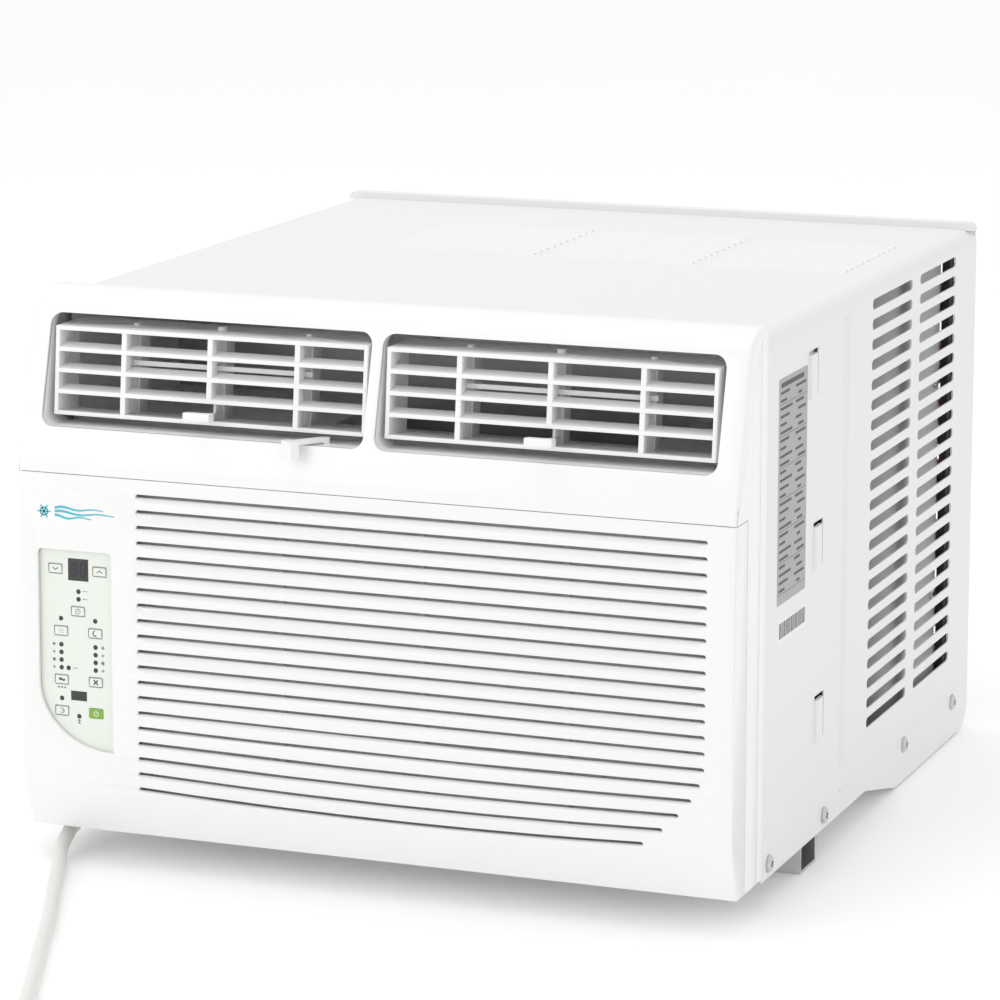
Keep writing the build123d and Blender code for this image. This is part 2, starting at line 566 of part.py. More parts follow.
with BuildPart() as control_housing:
    with BuildSketch(deck.offset(-OVERLAY)):
        with Locations((deck_middle, 0)):
            Rectangle(deck_size[0] + 8, deck_size[1] + 8)
    extrude(amount=-HOUSING_DEPTH)
    with BuildSketch(deck.offset(-OVERLAY)):
        with Locations((deck_middle, 0)):
            Rectangle(deck_size[0] + 8 - 2 * HOUSING_WALL, deck_size[1] + 8 - 2 * HOUSING_WALL)
    extrude(amount=-(HOUSING_DEPTH - HOUSING_WALL), mode=Mode.SUBTRACT)
    with BuildSketch(deck.offset(-board_depth - BOARD)):
        with Locations((deck_middle, 0)):
            Rectangle(deck_size[0] + 5, deck_size[1] + 5)
            Rectangle(deck_size[0] - 12, deck_size[1] - 16, mode=Mode.SUBTRACT)
    extrude(amount=-2)
save("control_housing", control_housing)

# ---------------------------------------------------------------- louvres: frame, vanes and their link
bar_pitch = (LOUVRE_HEIGHT - LOUVRE_SKIN) / (LOUVRE_BARS - 1)
vane_height = LOUVRE_HEIGHT - 2 * LOUVRE_SKIN - 1.2
vane_pin_reach = LOUVRE_SKIN * 0.7


def louvre_plane(middle):
    """The louvre's own frame: x along the louvre, y from its face to the rear, z up its leaning face."""
    return Plane(origin=(middle, pivot_y, pivot_z), x_dir=(1, 0, 0),
                 z_dir=(0, sin(radians(LOUVRE_LEAN)), cos(radians(LOUVRE_LEAN))))


def local_slab(plane, x, y, z, mode=Mode.ADD):
    """A box between limits taken in a plane's own directions."""
    centre = Location(((x[0] + x[1]) / 2, (y[0] + y[1]) / 2, (z[0] + z[1]) / 2))
    with Locations(plane.location * centre):
        Box(x[1] - x[0], y[1] - y[0], z[1] - z[0], mode=mode)


face = -LOUVRE_DEPTH / 2
vane_y = face + VANE_PIVOT
for side, opening in (("left", OUTLET_LEFT), ("right", OUTLET_RIGHT)):
    middle = sum(opening) / 2 + (1.5 if side == "left" else 0.0)
    seat = louvre_plane(middle)
    half_w, half_h = LOUVRE_WIDTH / 2, LOUVRE_HEIGHT / 2
    ribs = [LOUVRE_RIB_PITCH * (n - (LOUVRE_RIBS - 1) / 2) for n in range(LOUVRE_RIBS)]
    with BuildPart() as louvre_frame:
        local_slab(seat, (-half_w, half_w), (face, -face), (-half_h, half_h))
        local_slab(seat, (-half_w + LOUVRE_SKIN, half_w - LOUVRE_SKIN), (face - 1, -face + 1),
                   (-half_h + LOUVRE_SKIN, half_h - LOUVRE_SKIN), Mode.SUBTRACT)
        for bar in range(1, LOUVRE_BARS - 1):
            z = -half_h + bar * bar_pitch
            local_slab(seat, (-half_w, half_w), (face, face + LOUVRE_BAR_DEPTH), (z, z + LOUVRE_SKIN))
        for x in ribs:
            low = -half_h + (bar_pitch if x == 0 else 0)
            local_slab(seat, (x - 1.7, x + 1.7), (face + 0.6, face + LOUVRE_BAR_DEPTH), (low, half_h))
        for x in ribs:
            with BuildSketch(seat.offset(-half_h - 1)):
                with Locations((x, vane_y)):
                    Circle(VANE_PIN + PIVOT_PLAY)
            extrude(amount=LOUVRE_HEIGHT + 2, mode=Mode.SUBTRACT)
        outer = (opening[0] - BRACKET + 0.4, middle - half_w) if side == "left" else \
            (middle + half_w, bracket_right[1] - 0.4)
        inner = (middle + half_w, post[0] + 2.4) if side == "left" else (post[1] - 2.4, middle - half_w)
        rod_x(LOUVRE_PIN, outer, pivot_y, pivot_z)
        rod_x(LOUVRE_PIN, inner, pivot_y, pivot_z)
    save(f"{side}_louvre_frame", louvre_frame)

    link_z = LINK_DROP
    for number, x in enumerate(ribs, start=1):
        with BuildPart() as vane:
            local_slab(seat, (x - VANE_SKIN / 2, x + VANE_SKIN / 2),
                       (vane_y - VANE_FRONT, vane_y - VANE_FRONT + VANE_CHORD),
                       (-vane_height / 2, vane_height / 2))
            with BuildSketch(seat.offset(-vane_height / 2 - vane_pin_reach)):
                with Locations((x, vane_y)):
                    Circle(VANE_PIN)
            extrude(amount=vane_height + 2 * vane_pin_reach)
            local_slab(seat, (x - 4, x + 4), (vane_y - VANE_FRONT - 1, vane_y - LINK_REACH + 3.2),
                       (link_z - 1, link_z + LINK_SIZE + 1), Mode.SUBTRACT)
            if number == 2:
                stem = (-half_h + LOUVRE_SKIN + 1.5, -half_h + LOUVRE_SKIN + 4.5)
                local_slab(seat, (x - TAB_STEM / 2, x + TAB_STEM / 2), (face - 14, vane_y - 4), stem)
                local_slab(seat, (x - TAB_WIDTH / 2, x + TAB_WIDTH / 2),
                           (face - 14 - TAB_DEPTH / 2, face - 14 + TAB_DEPTH / 2),
                           (stem[0] - 0.5, stem[0] - 0.5 + TAB_THICK))
        save(f"{side}_vane_{number}", vane)

    with BuildPart() as vane_link:
        y = vane_y - LINK_REACH
        local_slab(seat, (ribs[0] - 6, ribs[-1] + 6), (y - LINK_SIZE / 2, y + LINK_SIZE / 2),
                   (link_z, link_z + LINK_SIZE))
        with BuildSketch(seat.offset(link_z)):
            with Locations(*[(x, y) for x in ribs]):
                Circle(LINK_BOSS)
        extrude(amount=LINK_SIZE)
    save(f"{side}_vane_link", vane_link)

# ---------------------------------------------------------------- vent lever and vent door
LEVER_X, LEVER_BACKSET, LEVER_HEIGHT = -20.0, 40.5, 257.0
LEVER_SWING = (-30.0, -39.0)
LEVER_DROP, LEVER_PLAY = 4.0, 1.5      # upright part of the lever, and its room inside the cover's wall
lever_y = FRONT_Y + LEVER_BACKSET
lever_z = FOOT + LEVER_HEIGHT - 1
sill_z = FOOT + OUTLET_HEIGHT[0]
reach = (LEVER_SWING[0] ** 2 + LEVER_SWING[1] ** 2) ** 0.5
lean = radians(FACE_LEAN)
wall_inner_y = SPLIT_Y + (sill_z - SPLIT - LEDGE_RISE) * tan(lean) + WALL / cos(lean)
lever_drop = lever_y - wall_inner_y - LEVER_PLAY
lever_seat = Plane(origin=(LEVER_X, lever_y, 0), x_dir=(LEVER_SWING[0], LEVER_SWING[1], 0), z_dir=(0, 0, 1))
lever_root = SPLIT + WALL
with BuildPart() as vent_lever:
    rod_z(5, LEVER_X, lever_y, (lever_root + FIT, lever_z + 3))
    local_slab(lever_seat, (0, lever_drop), (-2.5, 2.5), (lever_z, lever_z + 3))
    local_slab(lever_seat, (lever_drop - LEVER_DROP, lever_drop), (-2.5, 2.5), (lever_z, sill_z + 4))
    local_slab(lever_seat, (lever_drop - LEVER_DROP, reach + 2), (-2.5, 2.5), (sill_z + 1.2, sill_z + 4))
    local_slab(lever_seat, (reach - 3, reach + 3), (-6, 6), (sill_z - 7, sill_z + 4))
save("vent_lever", vent_lever)

bulkhead_y = CASE_Y + BULKHEAD_SPOT
DOOR_X, DOOR_Z, DOOR_LAP = (-95.0, -45.0), (288.0, 324.0), 4.0
door_top = FOOT + DOOR_Z[1] + DOOR_LAP
with BuildPart() as vent_door:
    slab((DOOR_X[0] - DOOR_LAP, DOOR_X[1] + DOOR_LAP), (bulkhead_y - 3.5, bulkhead_y - 2.0),
         (FOOT + DOOR_Z[0] - DOOR_LAP, door_top))
    rod_x(2.0, (DOOR_X[0] - DOOR_LAP - 3, DOOR_X[1] + DOOR_LAP + 3), bulkhead_y - 2.7, door_top)
save("vent_door", vent_door)

# ---------------------------------------------------------------- bulkhead between room side and outside
bulkhead_half = pan_half - PAN_SHEET - FIT
pipe_pass = (-205.0, FOOT + 100.0)
with BuildPart() as bulkhead:
    slab((-bulkhead_half, bulkhead_half), (bulkhead_y, bulkhead_y + SHEET),
         (PAN_FLOOR + PAN_SHEET, CASE_TOP - SHEET - FIT))
    fillet(bulkhead.edges().filter_by(Axis.Y).group_by(Axis.Z)[-1], CASE_CORNER)
    rod_y(BULKHEAD_BORE, AXLE[0], (bulkhead_y - 1, bulkhead_y + SHEET + 1), AXLE[1], Mode.SUBTRACT)
    slab(DOOR_X, (bulkhead_y - 1, bulkhead_y + SHEET + 1), levels(DOOR_Z), Mode.SUBTRACT)
    for dz in (0, 40):
        rod_y(PIPE_RADIUS + 2, pipe_pass[0], (bulkhead_y - 1, bulkhead_y + SHEET + 1), pipe_pass[1] + dz,
              Mode.SUBTRACT)
save("bulkhead", bulkhead)

# --------------------------------------------------------- blower scroll and outlet duct, one foam moulding
scroll_y = (bulkhead_y - SCROLL_DEPTH, bulkhead_y - FIT)
duct_z = (FOOT + DUCT_FLOOR, FOOT + DUCT_FLOOR + DUCT_SKIN)
duct_half = pan_half - 3
duct_front = CASE_Y + 9
with BuildPart() as blower_scroll:
    slab(SCROLL_X, scroll_y, (PAN_FLOOR + PAN_SHEET + FIT, duct_z[1]))
    slab((-duct_half, duct_half), (duct_front, scroll_y[1]), duct_z)
    for side in (-1, 1):
        slab(sorted((side * duct_half, side * (duct_half - 4))), (duct_front, scroll_y[1]),
             (duct_z[1], CASE_TOP - SHEET - FIT - 3))
    rod_y(SCROLL_RADIUS, AXLE[0], (scroll_y[0] + SCROLL_WALL, scroll_y[1] + 1), AXLE[1], Mode.SUBTRACT)
    slab(SCROLL_THROAT, (scroll_y[0] + SCROLL_WALL, scroll_y[1] + 1), (AXLE[1], duct_z[1] + 1),
         Mode.SUBTRACT)
    rod_y(INLET_RADIUS, AXLE[0], (scroll_y[0] - 1, scroll_y[0] + SCROLL_WALL + 1), AXLE[1], Mode.SUBTRACT)
save("blower_scroll", blower_scroll)

# ----------------------------------------------------------- rotor: blower wheel, axial fan and their shaft
wheel_y = (bulkhead_y - WHEEL_BACKSET - WHEEL_WIDTH, bulkhead_y - WHEEL_BACKSET)
fan_y = CASE_Y + FAN_SPOT
shaft_y = (wheel_y[0] + 50, fan_y + FAN_HUB_LENGTH + 6)
with BuildPart() as motor_shaft:
    rod_y(SHAFT_RADIUS, AXLE[0], shaft_y, AXLE[1])
save("motor_shaft", motor_shaft)

with BuildPart() as blower_wheel:
    with BuildSketch(Plane(origin=(AXLE[0], wheel_y[0], AXLE[1]), x_dir=(1, 0, 0), z_dir=(0, -1, 0))):
        Circle(WHEEL_RADIUS)
        Circle(WHEEL_RADIUS - WHEEL_BLADE, mode=Mode.SUBTRACT)
    extrude(amount=-3)
    with BuildSketch(Plane(origin=(AXLE[0], wheel_y[0], AXLE[1]), x_dir=(1, 0, 0), z_dir=(0, -1, 0))):
        with PolarLocations(WHEEL_RADIUS - WHEEL_BLADE / 2, WHEEL_BLADES):
            Rectangle(WHEEL_BLADE - 1, 1.6, rotation=38)
    extrude(amount=-WHEEL_WIDTH)
    rod_y(WHEEL_RADIUS, AXLE[0], (wheel_y[1] - 3, wheel_y[1]), AXLE[1])
    rod_y(SHAFT_RADIUS + 8, AXLE[0], (wheel_y[1] - 28, wheel_y[1]), AXLE[1])
    rod_y(SHAFT_RADIUS, AXLE[0], (wheel_y[0], wheel_y[1] + 1), AXLE[1], Mode.SUBTRACT)
save("blower_wheel", blower_wheel)

with BuildPart() as axial_fan:
    ring_width = FAN_HUB_LENGTH * 0.45
    ring = (fan_y + 8, fan_y + 8 + ring_width)
    rod_y(FAN_RADIUS, AXLE[0], ring, AXLE[1])
    rod_y(FAN_RADIUS - FAN_RING, AXLE[0], (ring[0] - 1, ring[1] + 1), AXLE[1], Mode.SUBTRACT)
    span = FAN_RADIUS - FAN_RING - FAN_HUB + 5
    with Locations(Location((AXLE[0], sum(ring) / 2, AXLE[1]), (90, 0, 0))):
        with PolarLocations(FAN_HUB - 3 + span / 2, FAN_BLADES):
            Box(span, 62, 2.5, rotation=(FAN_PITCH, 0, 0))
    with BuildSketch(facing(fan_y - 30)):
        with Locations(AXLE):
            Circle(FAN_RADIUS)
    extrude(amount=-120, mode=Mode.INTERSECT)
    rod_y(FAN_HUB, AXLE[0], (fan_y, fan_y + FAN_HUB_LENGTH), AXLE[1])
    rod_y(SHAFT_RADIUS, AXLE[0], (fan_y - 40, fan_y + FAN_HUB_LENGTH + 40), AXLE[1], Mode.SUBTRACT)
save("axial_fan", axial_fan)

# ---------------------------------------------------------------- motor and its bracket
motor_mid = CASE_Y + MOTOR_SPOT + MOTOR_LENGTH / 2
motor_y = (motor_mid - MOTOR_LENGTH / 2, motor_mid + MOTOR_LENGTH / 2)
with BuildPart() as fan_motor:
    rod_y(MOTOR_RADIUS, AXLE[0], motor_y, AXLE[1])
    fillet(fan_motor.edges().filter_by(GeomType.CIRCLE), 8)
    rod_y(16, AXLE[0], (motor_y[0] - 5, motor_y[1] + 5), AXLE[1])
    rod_y(SHAFT_RADIUS + PIVOT_PLAY, AXLE[0], (motor_y[0] - 9, motor_y[1] + 9), AXLE[1], Mode.SUBTRACT)
save("fan_motor", fan_motor)

foot_y = (motor_y[0] + 4, CASE_Y + SUMP_START - 3)
foot_z = PAN_FLOOR + PAN_SHEET
with BuildPart() as motor_bracket:
    slab((AXLE[0] - 60, AXLE[0] + 60), foot_y, (foot_z, foot_z + 2))
    for y in (motor_y[0] + 14, foot_y[1] - 4):
        slab((AXLE[0] - MOTOR_RADIUS - 6, AXLE[0] + MOTOR_RADIUS + 6), (y, y + 3), (foot_z, AXLE[1]))
    rod_y(MOTOR_RADIUS, AXLE[0], (motor_y[0], motor_y[1]), AXLE[1], Mode.SUBTRACT)
save("motor_bracket", motor_bracket)

# ---------------------------------------------------------------- fan shroud
shroud_y = spots(SHROUD_SPOT)
shroud_z = (SHROUD_LIFT, CASE_TOP - SHEET - 10)
with BuildPart() as condenser_shroud:
    slab((-SHROUD_HALF, SHROUD_HALF), shroud_y, shroud_z)
    front_corners = condenser_shroud.edges().filter_by(Axis.Z).group_by(Axis.Y)[0]
    fillet(front_corners, SHROUD_CORNER)
    with BuildSketch(Plane.XY.offset(shroud_z[0] - 1)) as inside:
        with Locations((0, (shroud_y[0] + shroud_y[1]) / 2 + SHROUD_WALL)):
            Rectangle(2 * (SHROUD_HALF - SHROUD_WALL), shroud_y[1] - shroud_y[0])
        fillet(inside.vertices().group_by(Axis.Y)[0], SHROUD_CORNER - SHROUD_WALL)
    extrude(amount=shroud_z[1] - shroud_z[0] + 2, mode=Mode.SUBTRACT)
    rod_y(FAN_RADIUS + SHROUD_PLAY + SHROUD_WALL, AXLE[0], (shroud_y[0], shroud_y[0] + 16), AXLE[1])
    rod_y(FAN_RADIUS + SHROUD_PLAY, AXLE[0], (shroud_y[0] - 1, shroud_y[0] + 20), AXLE[1], Mode.SUBTRACT)
save("condenser_shroud", condenser_shroud)


# ---------------------------------------------------------------- coils
def coil(name, x, y, z, rows):
    """A finned coil: fin block, two rows of tubes joined by return bends, and two end plates."""
    mid_y = (y[0] + y[1]) / 2
    tube_ys = (mid_y - TUBE_PITCH / 2 + 1.5, mid_y + TUBE_PITCH / 2 - 1.5)
    first = (z[0] + z[1]) / 2 - (rows - 1) * TUBE_PITCH / 2
    heights = [first + n * TUBE_PITCH for n in range(rows)]
    stub = END_PLATE + 4
    with BuildPart() as fins:
        slab(x, y, z)
        for tube_y in tube_ys:
            for height in heights:
                rod_x(TUBE_RADIUS, (x[0] - 1, x[1] + 1), tube_y, height, Mode.SUBTRACT)
    save(f"{name}_fins", fins)
    with BuildPart() as tubes:
        for tube_y in tube_ys:
            for height in heights:
                rod_x(TUBE_RADIUS, (x[0] - stub, x[1] + stub), tube_y, height)
            for end, start, outward in ((x[1] + stub, 0, -90), (x[0] - stub, 1, 90)):
                for low in heights[start:-1:2]:
                    upright = Location((end, tube_y, low + TUBE_PITCH / 2), (90, 0, 0))
                    with Locations(upright * Location((0, 0, 0), (0, 0, outward))):
                        Torus(TUBE_PITCH / 2, TUBE_RADIUS, major_angle=180, align=None)
    save(f"{name}_tubes", tubes)
    with BuildPart() as plates:
        for x_plate in ((x[0] - END_PLATE, x[0]), (x[1], x[1] + END_PLATE)):
            slab(x_plate, y, z)
            for tube_y in tube_ys:
                for height in heights:
                    rod_x(TUBE_RADIUS, (x_plate[0] - 1, x_plate[1] + 1), tube_y, height, Mode.SUBTRACT)
    save(f"{name}_end_plates", plates)


coil("evaporator", EVAP_X, spots(EVAP_SPOT), levels(EVAP_Z), 10)
coil("condenser", COND_X, spots(COND_SPOT), levels(COND_Z), 14)

# ---------------------------------------------------------------- compressor, its mountings and tank
comp_base = boss_top + GROMMET_HEIGHT
with BuildPart() as compressor:
    rod_z(COMP_RADIUS, comp_x, comp_y, (comp_base + 3, comp_base + COMP_HEIGHT))
    fillet(compressor.edges().filter_by(GeomType.CIRCLE), 22)
    with BuildSketch(Plane.XY.offset(comp_base)):
        with Locations((comp_x, comp_y)):
            Circle(COMP_RADIUS * 0.7)
        for x, y in bolt_spots:
            with Locations((x, y)):
                Circle(COMP_FOOT_RADIUS)
            with BuildLine():
                Polyline((comp_x - (y - comp_y) * 0.3, comp_y + (x - comp_x) * 0.3), (x, y),
                         (comp_x + (y - comp_y) * 0.3, comp_y - (x - comp_x) * 0.3), close=True)
            make_face()
    extrude(amount=5)
    for x, y in bolt_spots:
        rod_z(BOLT_RADIUS + FIT, x, y, (comp_base - 1, comp_base + 6), Mode.SUBTRACT)
save("compressor", compressor)

with BuildPart() as compressor_grommets:
    for x, y in bolt_spots:
        rod_z(GROMMET_RADIUS, x, y, (boss_top, comp_base))
        rod_z(BOLT_RADIUS, x, y, (boss_top - 1, comp_base + 1), Mode.SUBTRACT)
save("compressor_grommets", compressor_grommets)

with BuildPart() as compressor_bolts:
    for x, y in bolt_spots:
        rod_z(BOLT_RADIUS, x, y, (boss_top - 10, comp_base + 12))
        with BuildSketch(Plane.XY.offset(comp_base + 5)):
            with Locations((x, y)):
                RegularPolygon(6, 6)
        extrude(amount=5)
save("compressor_bolts", compressor_bolts)

tank_z = (comp_base + 30, comp_base + 30 + TANK_HEIGHT)
with BuildPart() as accumulator:
    rod_z(TANK_RADIUS, TANK_X, comp_y, tank_z)
    fillet(accumulator.edges().filter_by(GeomType.CIRCLE), 12)
save("accumulator", accumulator)


def pipe(radius, bend, points):
    """A bent pipe through the given points."""
    with BuildLine() as route:
        FilletPolyline(*points, radius=bend)
    with BuildSketch(Plane(origin=route.line @ 0, z_dir=route.line % 0)) as bore:
        Circle(radius)
    sweep(bore.sketch, path=route.line)


comp_top = comp_base + COMP_HEIGHT
with BuildPart() as refrigerant_lines:
    pipe(PIPE_RADIUS, 12, [(comp_x + 20, comp_y, comp_top), (comp_x + 20, comp_y, comp_top + 28),
                           (comp_x + 20, shroud_y[0] - 20, comp_top + 28),
                           (-SHROUD_HALF + 25, shroud_y[0] - 20, comp_top + 28),
                           (-SHROUD_HALF + 25, shroud_y[0] - 20, CASE_TOP - 20)])
    pipe(PIPE_RADIUS, 10, [(TANK_X, comp_y, tank_z[1]), (TANK_X, comp_y, tank_z[1] + 30),
                           (pipe_pass[0], comp_y - 30, tank_z[1] + 30),
                           (pipe_pass[0], comp_y - 30, pipe_pass[1] + 40),
                           (pipe_pass[0], bulkhead_y - 12, pipe_pass[1] + 40)])
save("refrigerant_lines", refrigerant_lines)

with BuildPart() as capillary_tube:
    with Locations((pipe_pass[0], bulkhead_y + 16, pipe_pass[1] - 40)):
        Cylinder(9, 50)
    pipe(CAPILLARY_RADIUS, 6,
         [(pipe_pass[0], bulkhead_y + 16, pipe_pass[1] - 15), (pipe_pass[0], bulkhead_y + 16, pipe_pass[1]),
                               (pipe_pass[0], bulkhead_y - 12, pipe_pass[1])])
save("capillary_tube", capillary_tube)

# ---------------------------------------------------------------- control box with the run capacitor
BOX_X, BOX_SPOT, BOX_Z = (-231.0, -166.0), (10.0, 140.0), (24.0, 236.0)
box_y, box_z = spots(BOX_SPOT), levels(BOX_Z)
with BuildPart() as control_box:
    slab(BOX_X, box_y, box_z)
    slab((BOX_X[0] - 1, BOX_X[1] - SHEET), (box_y[0] + SHEET, box_y[1] - SHEET),
         (box_z[0] + SHEET, box_z[1] - SHEET), Mode.SUBTRACT)
save("control_box", control_box)

with BuildPart() as run_capacitor:
    rod_z(21, sum(BOX_X) / 2, box_y[0] + 45, (box_z[0] + SHEET, box_z[0] + SHEET + 95))
    fillet(run_capacitor.edges().filter_by(GeomType.CIRCLE).group_by(Axis.Z)[-1], 3)
    for dx in (-7, 7):
        slab((sum(BOX_X) / 2 + dx - 3, sum(BOX_X) / 2 + dx + 3), (box_y[0] + 44.5, box_y[0] + 45.5),
             (box_z[0] + 94, box_z[0] + 106))
save("run_capacitor", run_capacitor)

# ----------------------------------------------------------- mains lead: strain relief, lead, coil and plug
LEAD_ROUTE = [(-224.5, -30.0, 13.5), (-222.0, -52.0, 6.2), (-207.0, -81.0, CORD_LIFT),
               (-184.0, -134.0, CORD_LIFT), (-160.0, -186.0, CORD_LIFT), (-141.0, -233.0, CORD_LIFT),
               (-119.0, -284.0, CORD_LIFT), (-98.0, -335.0, CORD_LIFT), (-76.0, -387.0, CORD_LIFT),
               (-58.0, -443.0, CORD_LIFT)]
TAIL_ROUTE = [(0.0, -478.5, CORD_LIFT), (28.0, -480.0, CORD_LIFT), (54.0, -474.0, 10.5),
              (76.0, -466.0, 14.0)]
COIL_SPOT = (-5.5, -422.0)
cord_points = [(x, CASE_Y + y, z) for x, y, z in LEAD_ROUTE]
tail_points = [(x, CASE_Y + y, z) for x, y, z in TAIL_ROUTE]
coil_centre = (COIL_SPOT[0], CASE_Y + COIL_SPOT[1])
coil_width = 2 * CORD_RADIUS * COIL_TURNS_WIDE
coil_height = 2 * CORD_RADIUS * COIL_TURNS_HIGH
coil_in, coil_out = COIL_RADIUS - coil_width / 2, COIL_RADIUS + coil_width / 2

relief_axis = Vector(*cord_points[0]) - Vector(*cord_gate)
with BuildPart() as cord_strain_relief:
    with BuildSketch(Plane(origin=cord_gate, z_dir=relief_axis)):
        Circle(8.0)
    extrude(amount=3)
    root = Plane(origin=cord_gate, z_dir=relief_axis)
    with BuildSketch(root.offset(2)):
        Circle(7.6)
    with BuildSketch(root.offset(relief_axis.length)):
        Circle(5.6)
    loft()
save("cord_strain_relief", cord_strain_relief)


def corner_radii(points):
    """Each corner's radius: 0.45 of the shorter run beside it, over the tangent of half the turn."""
    radii = []
    for before, here, after in zip(points, points[1:], points[2:]):
        run_in, run_out = Vector(*here) - Vector(*before), Vector(*after) - Vector(*here)
        turn = radians(run_in.get_angle(run_out))
        radii.append(0.45 * min(run_in.length, run_out.length) / tan(turn / 2))
    return radii


with BuildPart() as power_cord:
    for points in (cord_points, tail_points):
        radii = corner_radii(points)
        with BuildLine() as route:
            FilletPolyline(*points, radius=radii)
        with BuildSketch(Plane(origin=route.line @ 0, z_dir=route.line % 0)):
            Circle(CORD_RADIUS)
        sweep(path=route.line)
        print("lead corner radii", [round(r) for r in radii], "length",
              round(sum(edge.length for edge in route.edges())))
save("power_cord", power_cord)

with BuildPart() as cord_coil:
    with BuildSketch():
        with Locations(coil_centre):
            Circle(coil_out)
            Circle(coil_in, mode=Mode.SUBTRACT)
    extrude(amount=coil_height)
    fillet(cord_coil.edges().filter_by(GeomType.CIRCLE), CORD_RADIUS * 0.8)
save("cord_coil", cord_coil)
print("coiled length", round(2 * pi * COIL_RADIUS * COIL_TURNS_WIDE * COIL_TURNS_HIGH))

PLUG_SIZE = (58.0, 38.0, 28.0)
BLADE = (18.0, 1.5, 6.35)
BLADE_SPACING, EARTH_PIN = 12.7, 2.4
plug_heading = Vector(*tail_points[-1]) - Vector(*tail_points[-2])
plug_turn = degrees(atan2(plug_heading.Y, plug_heading.X))
plug_seat = Plane(origin=tail_points[-1], x_dir=(cos(radians(plug_turn)), sin(radians(plug_turn)), 0),
                  z_dir=(0, 0, 1))
with BuildPart() as power_plug:
    local_slab(plug_seat, (0, PLUG_SIZE[0]), (-PLUG_SIZE[1] / 2, PLUG_SIZE[1] / 2),
               (-PLUG_SIZE[2] / 2, PLUG_SIZE[2] / 2))
    fillet(power_plug.edges().filter_by(Axis.Z), 7)
    chamfer(power_plug.edges().group_by(Axis.Z)[-1], 2)
    for y in (-BLADE_SPACING / 2, BLADE_SPACING / 2):
        local_slab(plug_seat, (PLUG_SIZE[0], PLUG_SIZE[0] + BLADE[0]), (y - BLADE[1] / 2, y + BLADE[1] / 2),
                   (-2, -2 + BLADE[2]))
    local_slab(plug_seat, (PLUG_SIZE[0], PLUG_SIZE[0] + BLADE[0] + 3), (-EARTH_PIN, EARTH_PIN),
               (-10.5, -10.5 + 2 * EARTH_PIN))
save("power_plug", power_plug)
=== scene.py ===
from math import cos, degrees, pi, radians, sin, tan

import bmesh
import bpy
from mathutils import Matrix, Vector


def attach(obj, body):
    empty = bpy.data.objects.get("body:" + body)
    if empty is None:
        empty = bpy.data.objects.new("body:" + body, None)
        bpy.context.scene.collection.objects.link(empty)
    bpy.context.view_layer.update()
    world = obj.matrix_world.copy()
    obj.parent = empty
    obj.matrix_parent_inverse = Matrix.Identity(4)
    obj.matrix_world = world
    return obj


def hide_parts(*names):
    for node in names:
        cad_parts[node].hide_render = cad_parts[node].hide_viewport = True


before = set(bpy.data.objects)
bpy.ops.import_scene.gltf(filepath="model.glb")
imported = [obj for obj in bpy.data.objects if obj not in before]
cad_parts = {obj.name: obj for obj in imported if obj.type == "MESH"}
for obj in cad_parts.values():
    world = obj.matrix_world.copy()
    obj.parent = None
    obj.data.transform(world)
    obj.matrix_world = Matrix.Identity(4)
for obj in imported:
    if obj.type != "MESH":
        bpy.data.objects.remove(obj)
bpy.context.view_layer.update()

# ---------------------------------------------------------------- Camera
# A long lens from the unit's front left, a little above its top.
scene = bpy.context.scene
camera_data = bpy.data.cameras.new("camera")
camera_data.lens, camera_data.sensor_width = 152.27, 36.0
camera_data.clip_start, camera_data.clip_end = 0.1, 100.0
camera = bpy.data.objects.new("camera", camera_data)
scene.collection.objects.link(camera)
camera_yaw, camera_pitch, camera_roll = radians(21.4497), radians(11.9208), radians(-0.0992)
camera.matrix_world = (Matrix.Translation((1.01243, -2.61908, 0.79522)) @ Matrix.Rotation(camera_yaw, 4, "Z")
                       @ Matrix.Rotation(pi / 2 - camera_pitch, 4, "X")
                       @ Matrix.Rotation(camera_roll, 4, "Z"))
scene.camera = camera

# ---------------------------------------------------------------- Studio
# A white room: pale floor, a wide soft box above, another at the front left and an even fill all round.
scene.view_settings.view_transform = "Standard"
world = bpy.data.worlds.new("studio")
world.use_nodes = True
world.node_tree.nodes["Background"].inputs["Color"].default_value = (1.0, 1.0, 1.0, 1.0)
world.node_tree.nodes["Background"].inputs["Strength"].default_value = 0.9
scene.world = world


def soft_box(name, place, aim, size, watts):
    """A square area light at a place, turned to shine at its aim."""
    data = bpy.data.lights.new(name, "AREA")
    data.energy, data.size = watts, size
    lamp = bpy.data.objects.new(name, data)
    scene.collection.objects.link(lamp)
    lamp.location = place
    lamp.rotation_euler = (Vector(aim) - Vector(place)).to_track_quat("-Z", "Y").to_euler()


soft_box("overhead_box", (-0.4, 0.2, 2.6), (0.0, 0.0, 0.2), 2.2, 13.0)
soft_box("front_box", (-1.6, -2.6, 1.6), (0.0, 0.0, 0.2), 1.8, 12.0)


GLOSS_DRIFT, RELIEF_DEPTH = 0.15, 0.001


